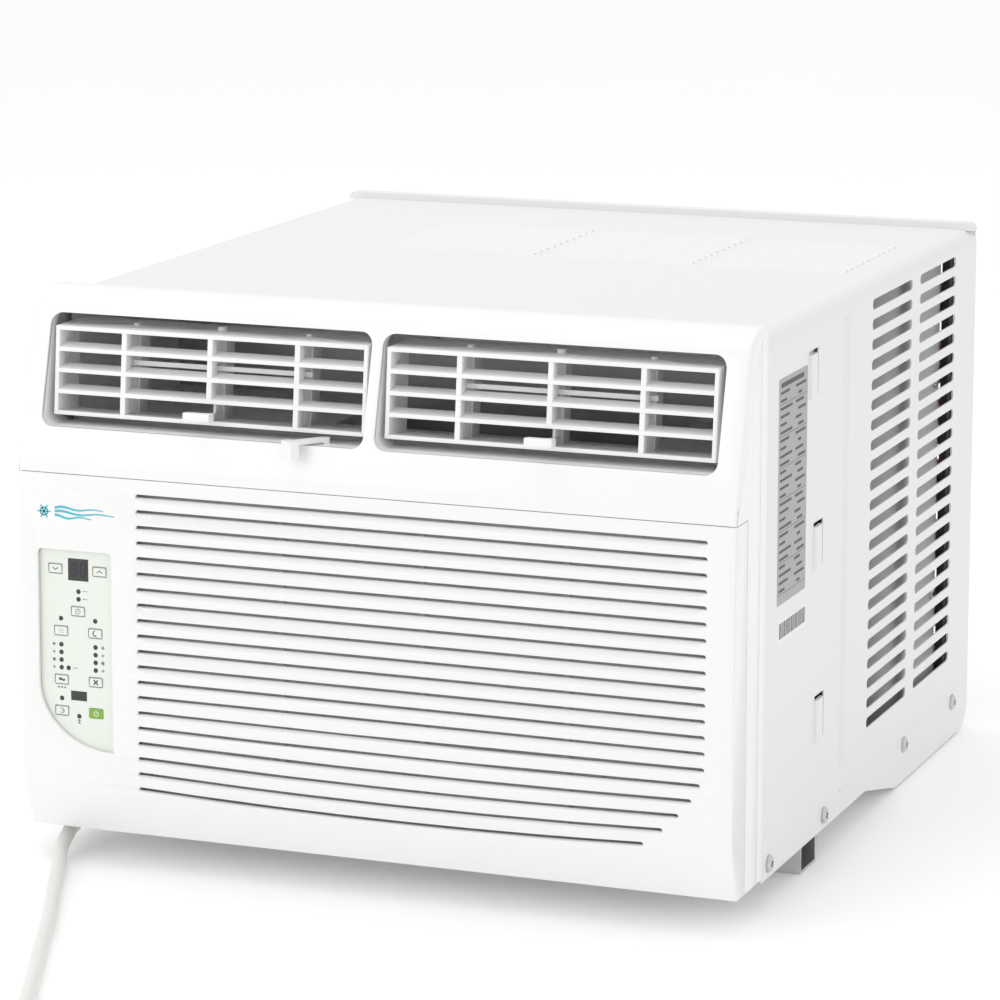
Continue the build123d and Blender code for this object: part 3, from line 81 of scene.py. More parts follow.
def paint(name, colour, roughness, grain=900.0, relief=0.03, mottle=0.015, patch=14.0,
          metallic=0.0, coat=0.0):
    """A finish with slow drifts of tone, a fine surface grain and a roughness that varies with it."""
    material = bpy.data.materials.new(name)
    material.use_nodes = True
    nodes, links = material.node_tree.nodes, material.node_tree.links
    shader = nodes["Principled BSDF"]
    shader.inputs["Metallic"].default_value = metallic
    shader.inputs["Coat Weight"].default_value = coat
    place = nodes.new("ShaderNodeTexCoord")
    drift = nodes.new("ShaderNodeTexNoise")
    drift.inputs["Scale"].default_value, drift.inputs["Detail"].default_value = patch, 4.0
    links.new(place.outputs["Object"], drift.inputs["Vector"])
    tone = nodes.new("ShaderNodeMix")
    tone.data_type = "RGBA"
    tone.inputs["A"].default_value = (*[max(c * (1 - mottle) - mottle * 0.1, 0.0) for c in colour], 1.0)
    tone.inputs["B"].default_value = (*[min(c * (1 + mottle) + mottle * 0.1, 1.0) for c in colour], 1.0)
    links.new(drift.outputs["Fac"], tone.inputs["Factor"])
    links.new(tone.outputs["Result"], shader.inputs["Base Color"])
    grains = nodes.new("ShaderNodeTexNoise")
    grains.inputs["Scale"].default_value, grains.inputs["Detail"].default_value = grain, 3.0
    links.new(place.outputs["Object"], grains.inputs["Vector"])
    bump = nodes.new("ShaderNodeBump")
    bump.inputs["Strength"].default_value, bump.inputs["Distance"].default_value = relief, RELIEF_DEPTH
    links.new(grains.outputs["Fac"], bump.inputs["Height"])
    links.new(bump.outputs["Normal"], shader.inputs["Normal"])
    gloss = nodes.new("ShaderNodeMapRange")
    gloss.inputs["To Min"].default_value = roughness * (1 - GLOSS_DRIFT)
    gloss.inputs["To Max"].default_value = roughness * (1 + GLOSS_DRIFT)
    links.new(drift.outputs["Fac"], gloss.inputs["Value"])
    links.new(gloss.outputs["Result"], shader.inputs["Roughness"])
    return material


def dress(material, *nodes):
    """Gives CAD nodes a finish."""
    for node in nodes:
        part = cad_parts[node]
        part.data.materials.clear()
        part.data.materials.append(material)


bpy.ops.object.select_all(action="DESELECT")
bpy.ops.mesh.primitive_plane_add(size=60.0, location=(0.0, 0.0, -0.0006))
floor = bpy.context.object
floor.name = "floor"
pale_floor = paint("pale_floor", (0.96, 0.96, 0.96), 0.7, 60.0, 0.01, 0.004, 3.0)
floor_shader = pale_floor.node_tree.nodes["Principled BSDF"]
floor_shader.inputs["Emission Color"].default_value = (1.0, 1.0, 1.0, 1.0)
floor_shader.inputs["Emission Strength"].default_value = 0.10
floor.data.materials.append(pale_floor)

# ---------------------------------------------------------------- Mains lead
# Off-white three-core flex, 9.5 mm thick: out through the tapered relief, down to the floor and away,
# with the spare length wound in a coil beside the plug.
CORD_RADIUS = 0.00475
lead_points = [(-0.2245, -0.240, 0.0135), (-0.222, -0.262, 0.0062), (-0.207, -0.291, 0.0048),
               (-0.184, -0.344, 0.0048), (-0.160, -0.396, 0.0048), (-0.141, -0.443, 0.0048),
               (-0.119, -0.494, 0.0048), (-0.098, -0.545, 0.0048), (-0.076, -0.597, 0.0048)]
tail_points = [(0.028, -0.690, 0.0052), (0.054, -0.684, 0.0105), (0.076, -0.676, 0.0140)]
coil_centre = (-0.0055, -0.632)
outer_turn, inner_turn, low_turn, high_turn = 0.0569, 0.0472, 0.0048, 0.0144
# angle in degrees where each change of ring ends: radius and height from there on
coil_stages = [(203, outer_turn, low_turn), (500, outer_turn, low_turn), (545, inner_turn, low_turn),
               (850, inner_turn, low_turn), (895, inner_turn, high_turn), (1215, inner_turn, high_turn),
               (1260, outer_turn, high_turn), (1325, outer_turn, high_turn), (1352, 0.0600, 0.0140),
               (1368, 0.0640, 0.0100)]
OUTSIDE = 1.018                       # control points stand outside the line that they draw
POINT_STEP = 22.0                     # degrees between control points
coil_points = []
for (start, r0, z0), (end, r1, z1) in zip(coil_stages, coil_stages[1:]):
    steps = max(round((end - start) / POINT_STEP), 1)
    for n in range(steps):
        share = n / steps
        angle = radians(start + (end - start) * share)
        radius = (r0 + (r1 - r0) * share) * OUTSIDE
        coil_points.append((coil_centre[0] + radius * cos(angle), coil_centre[1] + radius * sin(angle),
                            z0 + (z1 - z0) * share))
lead_curve = bpy.data.curves.new("mains_lead", "CURVE")
lead_curve.dimensions = "3D"
lead_curve.bevel_depth, lead_curve.bevel_resolution, lead_curve.resolution_u = CORD_RADIUS, 8, 6
lead_curve.use_fill_caps = True
spline = lead_curve.splines.new("NURBS")
route = lead_points + coil_points + tail_points
spline.points.add(len(route) - 1)
for point, place in zip(spline.points, route):
    point.co = (*place, 1.0)
spline.order_u, spline.use_endpoint_u = 3, True
mains_lead = bpy.data.objects.new("mains_lead", lead_curve)
scene.collection.objects.link(mains_lead)
sheath = paint("cord_sheath", (0.80, 0.80, 0.775), 0.48, 500.0, 0.06, 0.02, 40.0)
lead_curve.materials.append(sheath)
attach(mains_lead, "case")
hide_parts("power_cord", "cord_coil")

# ---------------------------------------------------------------- Strain relief and plug
# Both moulded over the flex in off-white vinyl: a ringed taper at the case, and a flat three-pin plug
# with finger grips and folded brass blades.


def point_at(direction):
    """The turn that lays a primitive's own Z along a direction."""
    return Vector(direction).to_track_quat("Z", "Y").to_euler()


def block(name, x, y, z):
    """A box between three pairs of limits in millimetres, its place in its own mesh."""
    bpy.ops.object.select_all(action="DESELECT")
    bpy.ops.mesh.primitive_cube_add(size=1, location=[sum(pair) / 2000 for pair in (x, y, z)],
                                    scale=[(pair[1] - pair[0]) / 1000 for pair in (x, y, z)])
    piece = bpy.context.object
    piece.name = name
    bpy.ops.object.transform_apply(location=True, rotation=True, scale=True)
    return piece


def rod(name, radius, start, end, sides=32, tip=None):
    """A cylinder, or a cone with a tip radius, between two points in millimetres."""
    bpy.ops.object.select_all(action="DESELECT")
    run = Vector(end) - Vector(start)
    tip = radius if tip is None else tip
    bpy.ops.mesh.primitive_cone_add(vertices=sides, radius1=radius / 1000, radius2=tip / 1000,
                                    depth=run.length / 1000, location=(Vector(start) + Vector(end)) / 2000,
                                    rotation=point_at(run))
    piece = bpy.context.object
    piece.name = name
    bpy.ops.object.transform_apply(location=True, rotation=True, scale=True)
    return piece


def take(piece):
    """Makes a piece the only one selected and active."""
    bpy.ops.object.select_all(action="DESELECT")
    piece.select_set(True)
    bpy.context.view_layer.objects.active = piece


def choose(piece, kind, test):
    """Opens a piece in edit mode with the edges, faces or vertices that pass a test selected."""
    take(piece)
    bpy.ops.object.mode_set(mode="EDIT")
    bpy.ops.mesh.select_mode(type=kind)
    bpy.ops.mesh.select_all(action="DESELECT")
    mesh = bmesh.from_edit_mesh(piece.data)
    for part in {"EDGE": mesh.edges, "FACE": mesh.faces, "VERT": mesh.verts}[kind]:
        part.select_set(bool(test(part)))
    bmesh.update_edit_mesh(piece.data)


def done():
    """Back to object mode."""
    bpy.ops.object.mode_set(mode="OBJECT")


def middle(part):
    """The middle of an edge or a face in millimetres."""
    return sum((v.co for v in part.verts), Vector()) / len(part.verts) * 1000


def along(edge, axis):
    """True if an edge runs along an axis."""
    run = (edge.verts[0].co - edge.verts[1].co).normalized()
    return abs(run["XYZ".index(axis)]) > 0.999


def round_edges(piece, width, segments, test):
    """Bevels the edges that pass a test to a round."""
    choose(piece, "EDGE", test)
    bpy.ops.mesh.bevel(offset=width / 1000, segments=segments, affect="EDGES", clamp_overlap=True)
    done()


def slice_off(piece, place, normal, clear=True):
    """Cuts a piece by a plane in millimetres: what lies beyond goes, or only an edge ring is added."""
    take(piece)
    bpy.ops.object.mode_set(mode="EDIT")
    bpy.ops.mesh.select_all(action="SELECT")
    bpy.ops.mesh.bisect(plane_co=[c / 1000 for c in place], plane_no=Vector(normal).normalized(),
                        use_fill=clear, clear_outer=clear)
    done()


def use(piece, kind, **settings):
    """Adds a modifier with these settings and applies it."""
    take(piece)
    modifier = piece.modifiers.new(kind.lower(), kind)
    for setting, value in settings.items():
        setattr(modifier, setting, value)
    bpy.ops.object.modifier_apply(modifier=modifier.name)


def join(name, pieces):
    """Several pieces as one, under a name."""
    take(pieces[0])
    for piece in pieces:
        piece.select_set(True)
    bpy.ops.object.join()
    pieces[0].name = name
    return pieces[0]


def cut(piece, cutter, operation="DIFFERENCE"):
    """Takes a cutter out of a piece, or unites them, and throws the cutter away."""
    use(piece, "BOOLEAN", object=cutter, operation=operation, solver="MANIFOLD")
    bpy.data.objects.remove(cutter)


WELD, FLAT = 0.000005, radians(0.5)


def soften(piece, width, segments=2, angle=30.0):
    """Rounds every sharp edge a little, as a mould or a press leaves it."""
    take(piece)
    bpy.ops.object.mode_set(mode="EDIT")
    bpy.ops.mesh.select_all(action="SELECT")
    bpy.ops.mesh.remove_doubles(threshold=WELD)
    bpy.ops.mesh.dissolve_limited(angle_limit=FLAT)
    bpy.ops.object.mode_set(mode="OBJECT")
    use(piece, "BEVEL", width=width / 1000, segments=segments, limit_method="ANGLE",
        angle_limit=radians(angle), use_clamp_overlap=True, miter_outer="MITER_ARC")


def fit(piece, body, material, slot, *replaced, angle=35.0):
    """Finishes a piece: smooth faces, its finish, the body it moves with and the CAD nodes it stands for."""
    take(piece)
    bpy.ops.object.shade_smooth_by_angle(angle=radians(angle))
    piece.data.name = piece.name
    piece.data.materials.clear()
    piece.data.materials.append(material)
    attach(piece, body)
    if replaced:
        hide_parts(*replaced)
    return piece


def twin(node, name):
    """A merged copy of a CAD node's mesh, to be finished further."""
    piece = bpy.data.objects.new(name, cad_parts[node].data.copy())
    scene.collection.objects.link(piece)
    take(piece)
    bpy.ops.object.mode_set(mode="EDIT")
    bpy.ops.mesh.select_all(action="SELECT")
    bpy.ops.mesh.remove_doubles(threshold=WELD)
    bpy.ops.mesh.dissolve_limited(angle_limit=FLAT)
    bpy.ops.object.mode_set(mode="OBJECT")
    return piece


plug_vinyl = paint("plug_vinyl", (0.80, 0.80, 0.78), 0.36, 420.0, 0.05, 0.012, 30.0)
gate, relief_end = Vector((-228.0, -210.0, 24.5)), Vector((-224.5, -240.0, 13.5))
relief_run = relief_end - gate
rings = [rod("ring", 8.0, gate, gate + relief_run * 0.1)]
rings.append(rod("ring", 6.9, gate + relief_run * 0.06, relief_end, 32, 5.2))
for n in range(7):
    share = 0.18 + 0.115 * n
    middle_point = gate + relief_run * share
    rings.append(rod("ring", 7.7 - 2.3 * share, middle_point, middle_point + relief_run * 0.055))
relief = join("cord_relief", rings)
soften(relief, 0.5, 2)
fit(relief, "case", plug_vinyl, "cord_sheath", "cord_strain_relief")

# ---------------------------------------------------------------- Front cover
# One moulding in low-gloss white: a face that leans back around the two air outlets, a ledge that the
# grille closes up to, and a ring behind the grille that screws to the case.
HALF, FACE_Y, LEAN = 241.0, -269.0, radians(15.3)
COVER_REAR, COVER_LOW, COVER_TOP, LEDGE_Z = -210.6, 21.6, 370.0, 262.0
POCKET_REAR, POCKET_TOP, COVER_WALL = -246.5, 257.0, 2.6
FAR = 300.0                           # beyond anything, for cutters
panel_white = paint("panel_white", (0.885, 0.885, 0.88), 0.30, 1100.0, 0.012, 0.006, 9.0, coat=0.15)
outlets = {"left": (-228.0, -5.0), "right": (2.0, 226.0)}
OUTLET_LOW, OUTLET_TOP, OUTLET_CORNER = 285.5, 356.0, 8.0



def outlet_hole(low, high):
    """An outlet's rounded opening as a cutter."""
    hole = block("cutter", (low, high), (-FAR, -200), (OUTLET_LOW, OUTLET_TOP))
    round_edges(hole, OUTLET_CORNER, 8, lambda e: along(e, "Y"))
    return hole


cover = block("front_cover", (-HALF, HALF), (FACE_Y, COVER_REAR), (COVER_LOW, COVER_TOP))
leaning = (0.0, -cos(LEAN), sin(LEAN))
slice_off(cover, (0, FACE_Y, LEDGE_Z), leaning)
round_edges(cover, 19.8, 12, lambda e: along(e, "X") and middle(e).z > COVER_TOP - 1 and middle(e).y < -230)
round_edges(cover, 4.4, 5, lambda e: along(e, "X") and abs(middle(e).z - LEDGE_Z) < 0.5
            and middle(e).y < FACE_Y + 1)
for level in (270, 280, 292, 306, 322):
    slice_off(cover, (0, 0, level), (0, 0, 1), clear=False)
ROUND_RUN, LEAST_ROUND = 80.0, 0.22
# the upright outline is rounded, more and more towards the top
weights = cover.data.attributes.new("bevel_weight_edge", "FLOAT", "EDGE")
for edge in cover.data.edges:
    a, b = [cover.data.vertices[i].co * 1000 for i in edge.vertices]
    on_side = abs(abs(a.x) - HALF) < 0.01 and abs(a.x - b.x) < 0.01
    centre = (a + b) / 2
    rim = centre.z > COVER_TOP - 0.1 or (min(a.y, b.y) < COVER_REAR - 0.4 and centre.z > COVER_LOW + 0.1)
    beside = [p for p in cover.data.polygons
              if set(edge.vertices) <= set(p.vertices) and abs(p.normal.x) < 0.5]
    if on_side and rim and len(beside) == 1:
        rise = min(max((centre.z - POCKET_TOP) / ROUND_RUN, 0.0), 1.0)
        weights.data[edge.index].value = rise * (1 - LEAST_ROUND) + LEAST_ROUND
use(cover, "BEVEL", width=0.013, segments=8, limit_method="WEIGHT", use_clamp_overlap=True)

cut(cover, block("cutter", (-FAR, FAR), (-FAR, POCKET_REAR), (0, POCKET_TOP)))
hollow = block("cutter", (-235.5, 235.5), (-266.4, -200), (259.5, 367.4))
slice_off(hollow, (0, FACE_Y + COVER_WALL, LEDGE_Z), leaning)
round_edges(hollow, 17.5, 8, lambda e: along(e, "X") and middle(e).z > 367 and middle(e).y < -230)
cut(cover, hollow)
cut(cover, block("cutter", (-238.5, 238.5), (-249, -200), (24.1, 263)))
cut(cover, block("cutter", (-238, -214), (-243, -200), (18, 27)))
for low, high in outlets.values():
    cut(cover, outlet_hole(low, high))
seam = block("cutter", (-243, 243), (-223.4, -222.5), (20, 363))
cut(seam, block("cutter", (-240.1, 240.1), (-230, -210), (0, 380)))
cut(cover, seam)
soften(cover, 1.1, 3, 40.0)
fit(cover, "case", panel_white, "panel_plastic", "front_panel", angle=40.0)

# ---------------------------------------------------------------- Outlet frames
# The same white moulding turns inwards round each outlet as a sleeve.
SLEEVE, SLEEVE_Y = 2.2, (-262.0, -236.0)
for side, (low, high) in outlets.items():
    sleeve = block("outlet_sleeve_" + side, (low - SLEEVE, high + SLEEVE), SLEEVE_Y,
                   (OUTLET_LOW - SLEEVE, OUTLET_TOP + SLEEVE))
    round_edges(sleeve, OUTLET_CORNER + 2.0, 8, lambda e: along(e, "Y"))
    slice_off(sleeve, (0, FACE_Y + 1.6, LEDGE_Z), leaning)
    cut(sleeve, outlet_hole(low, high))
    soften(sleeve, 0.4, 2)
    fit(sleeve, "case", panel_white, "panel_plastic")

# ---------------------------------------------------------------- Intake grille
# A white moulding hinged at its foot: a face that bulges a little, twenty scooped slots whose lower rows
# bow down and draw in at the right, and the control window with its long curved corner.
SLOPE = 3.5 / 162.0
GRILLE_FRONT, GRILLE_REAR, GRILLE_TOP, GRILLE_WALL = -272.5, -247.5, 256.4, 2.5
BULGE_Z, CHIN_Z, CHIN_SLOPE = 95.0, 52.0, (0, -30.5, -10.8)
SLOTS, STRAIGHT_ROWS, SLOT_TOP, SLOT_PITCH, SLOT_HIGH, SLOT_BOW = 20, 12, 247.2, 10.05, 2.3, 3.8
SLOT_LEFT, SLOT_RIGHT, DRAW_BELOW, DRAW_RATE, DRAW_POWER = -158.5, 223.0, 109.0, 0.0276, 1.83
SCOOP_STEPS = {1: 0.8, 2: 2.9}        # how far the lower lip drops at each step towards the face
SCOOP_FACE, SCOOP_RUN = 6.0, 2.4


def face_y(z):
    """The grille face at a height."""
    return GRILLE_FRONT + max(z - BULGE_Z, 0.0) * SLOPE


def grille_shell(name, inset):
    """The grille's outer or inner form."""
    shell = block(name, (-HALF + inset, HALF - inset), (GRILLE_FRONT + inset, GRILLE_REAR + inset * 4),
                  (COVER_LOW + inset, GRILLE_TOP - inset))
    slice_off(shell, (0, FACE_Y + inset, POCKET_TOP), (0, -1, SLOPE))
    slice_off(shell, (0, GRILLE_FRONT + inset, CHIN_Z), CHIN_SLOPE)
    for level, width, segments in ((BULGE_Z, 34.0, 6), (CHIN_Z, 12.0, 8)):
        round_edges(shell, width, segments, lambda e: along(e, "X") and abs(middle(e).z - level) < 4
                    and middle(e).y < -260)
    return shell


def slot_ends(row):
    """Height, left and right ends of a slot, and how far it bows."""
    z = SLOT_TOP - row * SLOT_PITCH
    drawn = DRAW_RATE * max(DRAW_BELOW - z, 0.0) ** DRAW_POWER
    bow = SLOT_BOW * max(row - STRAIGHT_ROWS, 0) / (SLOTS - 1 - STRAIGHT_ROWS)
    return z, SLOT_LEFT, SLOT_RIGHT - drawn, bow


grille = grille_shell("intake_grille_cover", 0.0)
round_edges(grille, 4.0, 4, lambda e: abs(abs(middle(e).x) - HALF) < 0.1 and middle(e).y < -250
            and not along(e, "X") and all(v.co.y < -0.2481 for v in e.verts) and len(e.link_faces) == 2
            and e.calc_face_angle() > 1.0)
cut(grille, grille_shell("cutter", GRILLE_WALL))
for row in range(SLOTS):
    z, left, right, bow = slot_ends(row)
    y = face_y(z)
    slot_cutter = block("cutter", (left, right), (y - 3, y + 8), (z - SLOT_HIGH, z))
    for depth in (SCOOP_RUN, 1.0, -0.1):
        slice_off(slot_cutter, (0, y + depth, 0), (0, 1, 0), clear=False)
    round_edges(slot_cutter, 1.7, 4, lambda e: along(e, "Y") and middle(e).z > z - 0.1)
    for n in range(1, 24):
        slice_off(slot_cutter, (left + (right - left) * n / 24, 0, 0), (1, 0, 0), clear=False)
    for x in (left + 2.5, left + 5, right - 5, right - 2.5):
        slice_off(slot_cutter, (x, 0, 0), (1, 0, 0), clear=False)
    for vertex in slot_cutter.data.vertices:
        ahead = y + SCOOP_RUN - vertex.co.y * 1000
        low = vertex.co.z * 1000 < z - SLOT_HIGH + 0.1
        near_end = min(vertex.co.x * 1000 - left, right - vertex.co.x * 1000)
        share = (2 * (vertex.co.x * 1000 - left) / (right - left) - 1)
        if low and ahead > 0.1:
            drop = SCOOP_STEPS.get(round(ahead), SCOOP_FACE)
            vertex.co.z -= drop * min(near_end / 6.0 + 0.1, 1.0) / 1000
        vertex.co.z -= bow * (1 - share * share) / 1000
    cut(grille, slot_cutter)

DECK_LEFT, DECK_RIGHT, DECK_LOW, DECK_TOP, SWEEP = -228.5, -176.0, 76.5, 207.3, 44.0


def deck_block(name, y):
    """The control window's outline as a solid: small upper corners and one long curve at lower left."""
    left, right, low, top = DECK_LEFT, DECK_RIGHT, DECK_LOW, DECK_TOP
    piece = block(name, (left, right), y, (low, top))
    round_edges(piece, SWEEP, 16, lambda e: along(e, "Y") and middle(e).z < low + 1
                and middle(e).x < left + 1)
    for vertex in piece.data.vertices:
        if vertex.co.z * 1000 < low + SWEEP + 0.1 and vertex.co.x * 1000 < left + SWEEP + 0.1:
            vertex.co.x = (left + (vertex.co.x * 1000 - left) * (right - left - 2.0) / SWEEP) / 1000
    round_edges(piece, 3.0, 5, lambda e: along(e, "Y") and middle(e).z > top - 1)
    return piece


cut(grille, deck_block("cutter", (-290, -255)))
soften(grille, 0.55, 2, 50.0)
fit(grille, "grille", panel_white, "panel_plastic", "intake_grille", angle=50.0)

# ---------------------------------------------------------------- Air filter
# A grey frame with a woven nylon mesh that slides behind the grille.
filter_grey = paint("filter_grey", (0.70, 0.705, 0.71), 0.5, 700.0, 0.05, 0.02, 20.0)
dress(filter_grey, "filter_frame")
mesh_weave = paint("mesh_weave", (0.62, 0.625, 0.63), 0.7, 2600.0, 0.3, 0.04, 300.0)
dress(mesh_weave, "filter_mesh")


# ---------------------------------------------------------------- Control panel
# A pale green-grey printed film behind the grille's window: nine film keys, a two-digit display, a remote
# receiver and lamp dots. Printed outlines and signs are raised by a tenth of a millimetre.
film = paint("overlay_film", (0.80, 0.84, 0.775), 0.5, 1500.0, 0.03, 0.008, 30.0)
key_film = paint("key_film", (0.82, 0.855, 0.80), 0.42, 1500.0, 0.03, 0.006, 60.0)
power_film = paint("power_film", (0.235, 0.44, 0.055), 0.42, 1500.0, 0.03, 0.02, 120.0)
smoke = paint("smoked_window", (0.006, 0.006, 0.008), 0.12, 300.0, 0.004, 0.3, 60.0, coat=0.5)
print_grey = paint("print_grey", (0.10, 0.115, 0.105), 0.5, 1500.0, 0.02, 0.05, 200.0)
print_white = paint("print_white", (0.85, 0.88, 0.82), 0.5, 1500.0, 0.02, 0.02, 200.0)
housing_white = paint("housing_white", (0.80, 0.80, 0.78), 0.45, 500.0, 0.04, 0.01, 20.0)
board_green = paint("board_green", (0.05, 0.22, 0.10), 0.4, 400.0, 0.05, 0.06, 90.0)
KEY_PLACES = {"temp_down": (-15.7, 170.0), "temp_up": (15.7, 170.0), "timer": (0.0, 143.0),
              "energy": (-12.2, 129.5), "sleep": (12.2, 129.5), "mode": (-12.2, 97.5),
              "fan": (12.2, 97.5), "saver": (-12.2, 77.0), "power": (12.2, 77.0)}
dress(film, "control_overlay")
dress(key_film, *["key_" + key for key in KEY_PLACES if key != "power"])
dress(power_film, "key_power")
dress(smoke, "display_windows", "indicator_lamps")
dress(housing_white, "control_housing")
dress(board_green, "display_board")
DECK_MIDDLE, DECK_Y, DECK_Z, DATUM = -201.7, -267.99, 141.9, 24.0
KEY_LIFT, FILM_LIFT, INK, RING_STEPS = 0.2, 0.0, 0.12, 16


def mark(x, height, wide, high, turn=0.0, lift=FILM_LIFT):
    """One printed stroke on the film: its middle, its size in millimetres and its turn in degrees."""
    z = DATUM + height
    y = DECK_Y + (z - DECK_Z) * SLOPE - lift
    bpy.ops.object.select_all(action="DESELECT")
    place = (DECK_MIDDLE + x, y - INK / 2 + 0.02, z)
    bpy.ops.mesh.primitive_cube_add(size=0.001, location=[c / 1000 for c in place],
                                    rotation=(SLOPE, radians(-turn), 0), scale=(wide, INK, high))
    stroke = bpy.context.object
    bpy.ops.object.transform_apply(location=True, rotation=True, scale=True)
    return stroke


def loop_mark(x, height, radius, line, share=1.0, lift=FILM_LIFT, start=90.0):
    """A printed ring or arc, made of short strokes."""
    count = round(RING_STEPS * share)
    turns = [2 * pi * share * (n + 0.5 - count / 2) / count for n in range(count)]
    return [mark(x + radius * cos(radians(start) + turn), height + radius * sin(radians(start) + turn),
                 2.3 * pi * radius / RING_STEPS, line, start + 90 + degrees(turn), lift)
            for turn in turns]


def key_frame(x, height, lift):
    """The thin printed outline of a key."""
    wide, high, line = 9.1, 5.7, 0.32
    return [mark(x, height + high / 2, wide, line, 0, lift), mark(x, height - high / 2, wide, line, 0, lift),
            mark(x - wide / 2, height, line, high, 0, lift), mark(x + wide / 2, height, line, high, 0, lift)]


def chevron(x, height, up, lift, size=2.6, line=0.55):
    """Two strokes that meet in a point."""
    return [mark(x + s * size * 0.37, height, size, line, -s * 38 * up, lift) for s in (-1, 1)]


def cross(x, height, size, line, strokes, lift=FILM_LIFT, start=0.0):
    """Strokes crossing at one point, as in a star or a fan."""
    return [mark(x, height, size, line, start + 180 * n / strokes, lift) for n in range(strokes)]


signs = {
    "temp_down": lambda x, h, l: chevron(x, h, -1, l),
    "temp_up": lambda x, h, l: chevron(x, h, 1, l),
    "timer": lambda x, h, l: loop_mark(x, h, 1.7, 0.3, lift=l) + [mark(x, h + 0.6, 0.3, 1.2, 0, l),
                                                                 mark(x + 0.5, h, 1.0, 0.3, 0, l)],
    "energy": lambda x, h, l: [mark(x + dx, h + dz, 0.3, 0.3, 0, l) for dx in (-1.6, -0.8, 0, 0.8, 1.6)
                               for dz in (-1.0, 0, 1.0)],
    "sleep": lambda x, h, l: loop_mark(x, h, 1.6, 0.75, 0.56, l, 200.0),
    "mode": lambda x, h, l: [mark(x - 0.6, h + 0.2, 2.6, 1.7, 0, l), mark(x + 1.5, h - 0.3, 1.8, 1.3, 30, l)],
    "fan": lambda x, h, l: cross(x, h, 4.2, 0.9, 2, l, 45.0) + loop_mark(x, h, 0.7, 0.5, lift=l),
    "saver": lambda x, h, l: loop_mark(x, h, 1.5, 0.4, 0.75, l, 0.0) + [mark(x + 1.0, h, 1.6, 0.4, 0, l)],
    "power": lambda x, h, l: (loop_mark(x, h - 0.1, 1.55, 0.42, 0.8, l, 270.0)
                              + [mark(x, h + 1.0, 0.42, 1.9, 0, l)]),
}
for key, (x, height) in KEY_PLACES.items():
    drawn = signs[key](x, height, KEY_LIFT)
    if key != "power":
        drawn += key_frame(x, height, KEY_LIFT)
    sign = join("sign_" + key, drawn)
    fit(sign, "key_" + key, print_white if key == "power" else print_grey,
        "power_key" if key == "power" else "key_film")
film_marks = []
for column, side in ((-12.2, -1), (12.2, 1)):
    for n in range(4):
        height = 120.5 - 5.05 * n
        film_marks += cross(column + side * 5.2, height, 2.6 - 0.3 * (n % 2), 0.35, (3, 2, 4, 2)[n],
                            start=25.0 * n)
for x, height in ((4.4, 156.4), (4.4, 151.2), (-3.0, 105.6)):
    film_marks += [mark(x, height, 1.6, 0.4), mark(x + 1.9, height, 0.9, 0.4)]
film_marks += [mark(-12.2 + 1.9 * n, 92.3, 1.4, 0.75) for n in (-1.2, 0, 1.2)]
film_marks += [mark(0, 69.6, 1.9, 0.5), mark(0, 70.6, 0.5, 1.9)] + chevron(0, 71.6, 1, FILM_LIFT, 1.5, 0.35)
fit(join("film_print", film_marks), "case", print_grey, "overlay_film")
segments = []
for digit in (-2.9, 3.4):
    for dx, dz, wide, high in ((0, 4.2, 3.6, 0.8), (0, 0, 3.6, 0.8), (0, -4.2, 3.6, 0.8),
                               (-2.2, 2.1, 0.8, 3.2), (2.2, 2.1, 0.8, 3.2),
                               (-2.2, -2.1, 0.8, 3.2), (2.2, -2.1, 0.8, 3.2)):
        segments.append(mark(0.5 + digit + dx * 0.8, 170.2 + dz, wide * 0.8, high, lift=-0.02))
unlit = paint("unlit_segments", (0.018, 0.018, 0.02), 0.3, 300.0, 0.01, 0.1, 90.0)
fit(join("display_segments", segments), "case", unlit, "display_smoke")

# ---------------------------------------------------------------- Trim mark on the grille
# A small teal ornament in raised ink above the control window: a frost star and three drifts of air.
teal = paint("teal_ink", (0.085, 0.50, 0.60), 0.4, 900.0, 0.03, 0.02, 90.0)


def drift_of_air(x, z, length, phase):
    """One wavy stroke."""
    stroke = block("drift", (x, x + length), (face_y(z) - 0.16, face_y(z) + 0.15), (z - 0.75, z + 0.75))
    for n in range(1, 20):
        slice_off(stroke, (x + length * n / 20, 0, 0), (1, 0, 0), clear=False)
    for vertex in stroke.data.vertices:
        share = (vertex.co.x * 1000 - x) / length
        vertex.co.z += 0.0009 * sin(2 * pi * 1.5 * share + phase)
        vertex.co.z = (z + (vertex.co.z * 1000 - z) * (1.15 - 0.75 * share)) / 1000
    return stroke


INK_DEPTH, STAR_X, DRIFT_X, MARK_Z = (-0.16, 0.15), -223.2, -215.5, 231.5
star = []
for n in range(3):
    arm = block("arm", (-4.6, 4.6), INK_DEPTH, (-0.5, 0.5))
    tips = [block("tip", x, INK_DEPTH, (-1.7, 1.7)) for x in ((2.0, 2.7), (-2.7, -2.0))]
    arm = join("arm", [arm] + tips)
    arm.data.transform(Matrix.Translation(Vector((STAR_X, face_y(MARK_Z), MARK_Z)) / 1000)
                       @ Matrix.Rotation(pi * n / 3, 4, "Y"))
    star.append(arm)
drifts = [drift_of_air(DRIFT_X, MARK_Z + rise, length, phase)
          for rise, length, phase in ((2.8, 34.0, 0.0), (0.0, 42.0, 0.6), (-2.8, 26.0, 1.2))]
trim = join("trim_mark", star + drifts)
fit(trim, "grille", teal, "panel_plastic")

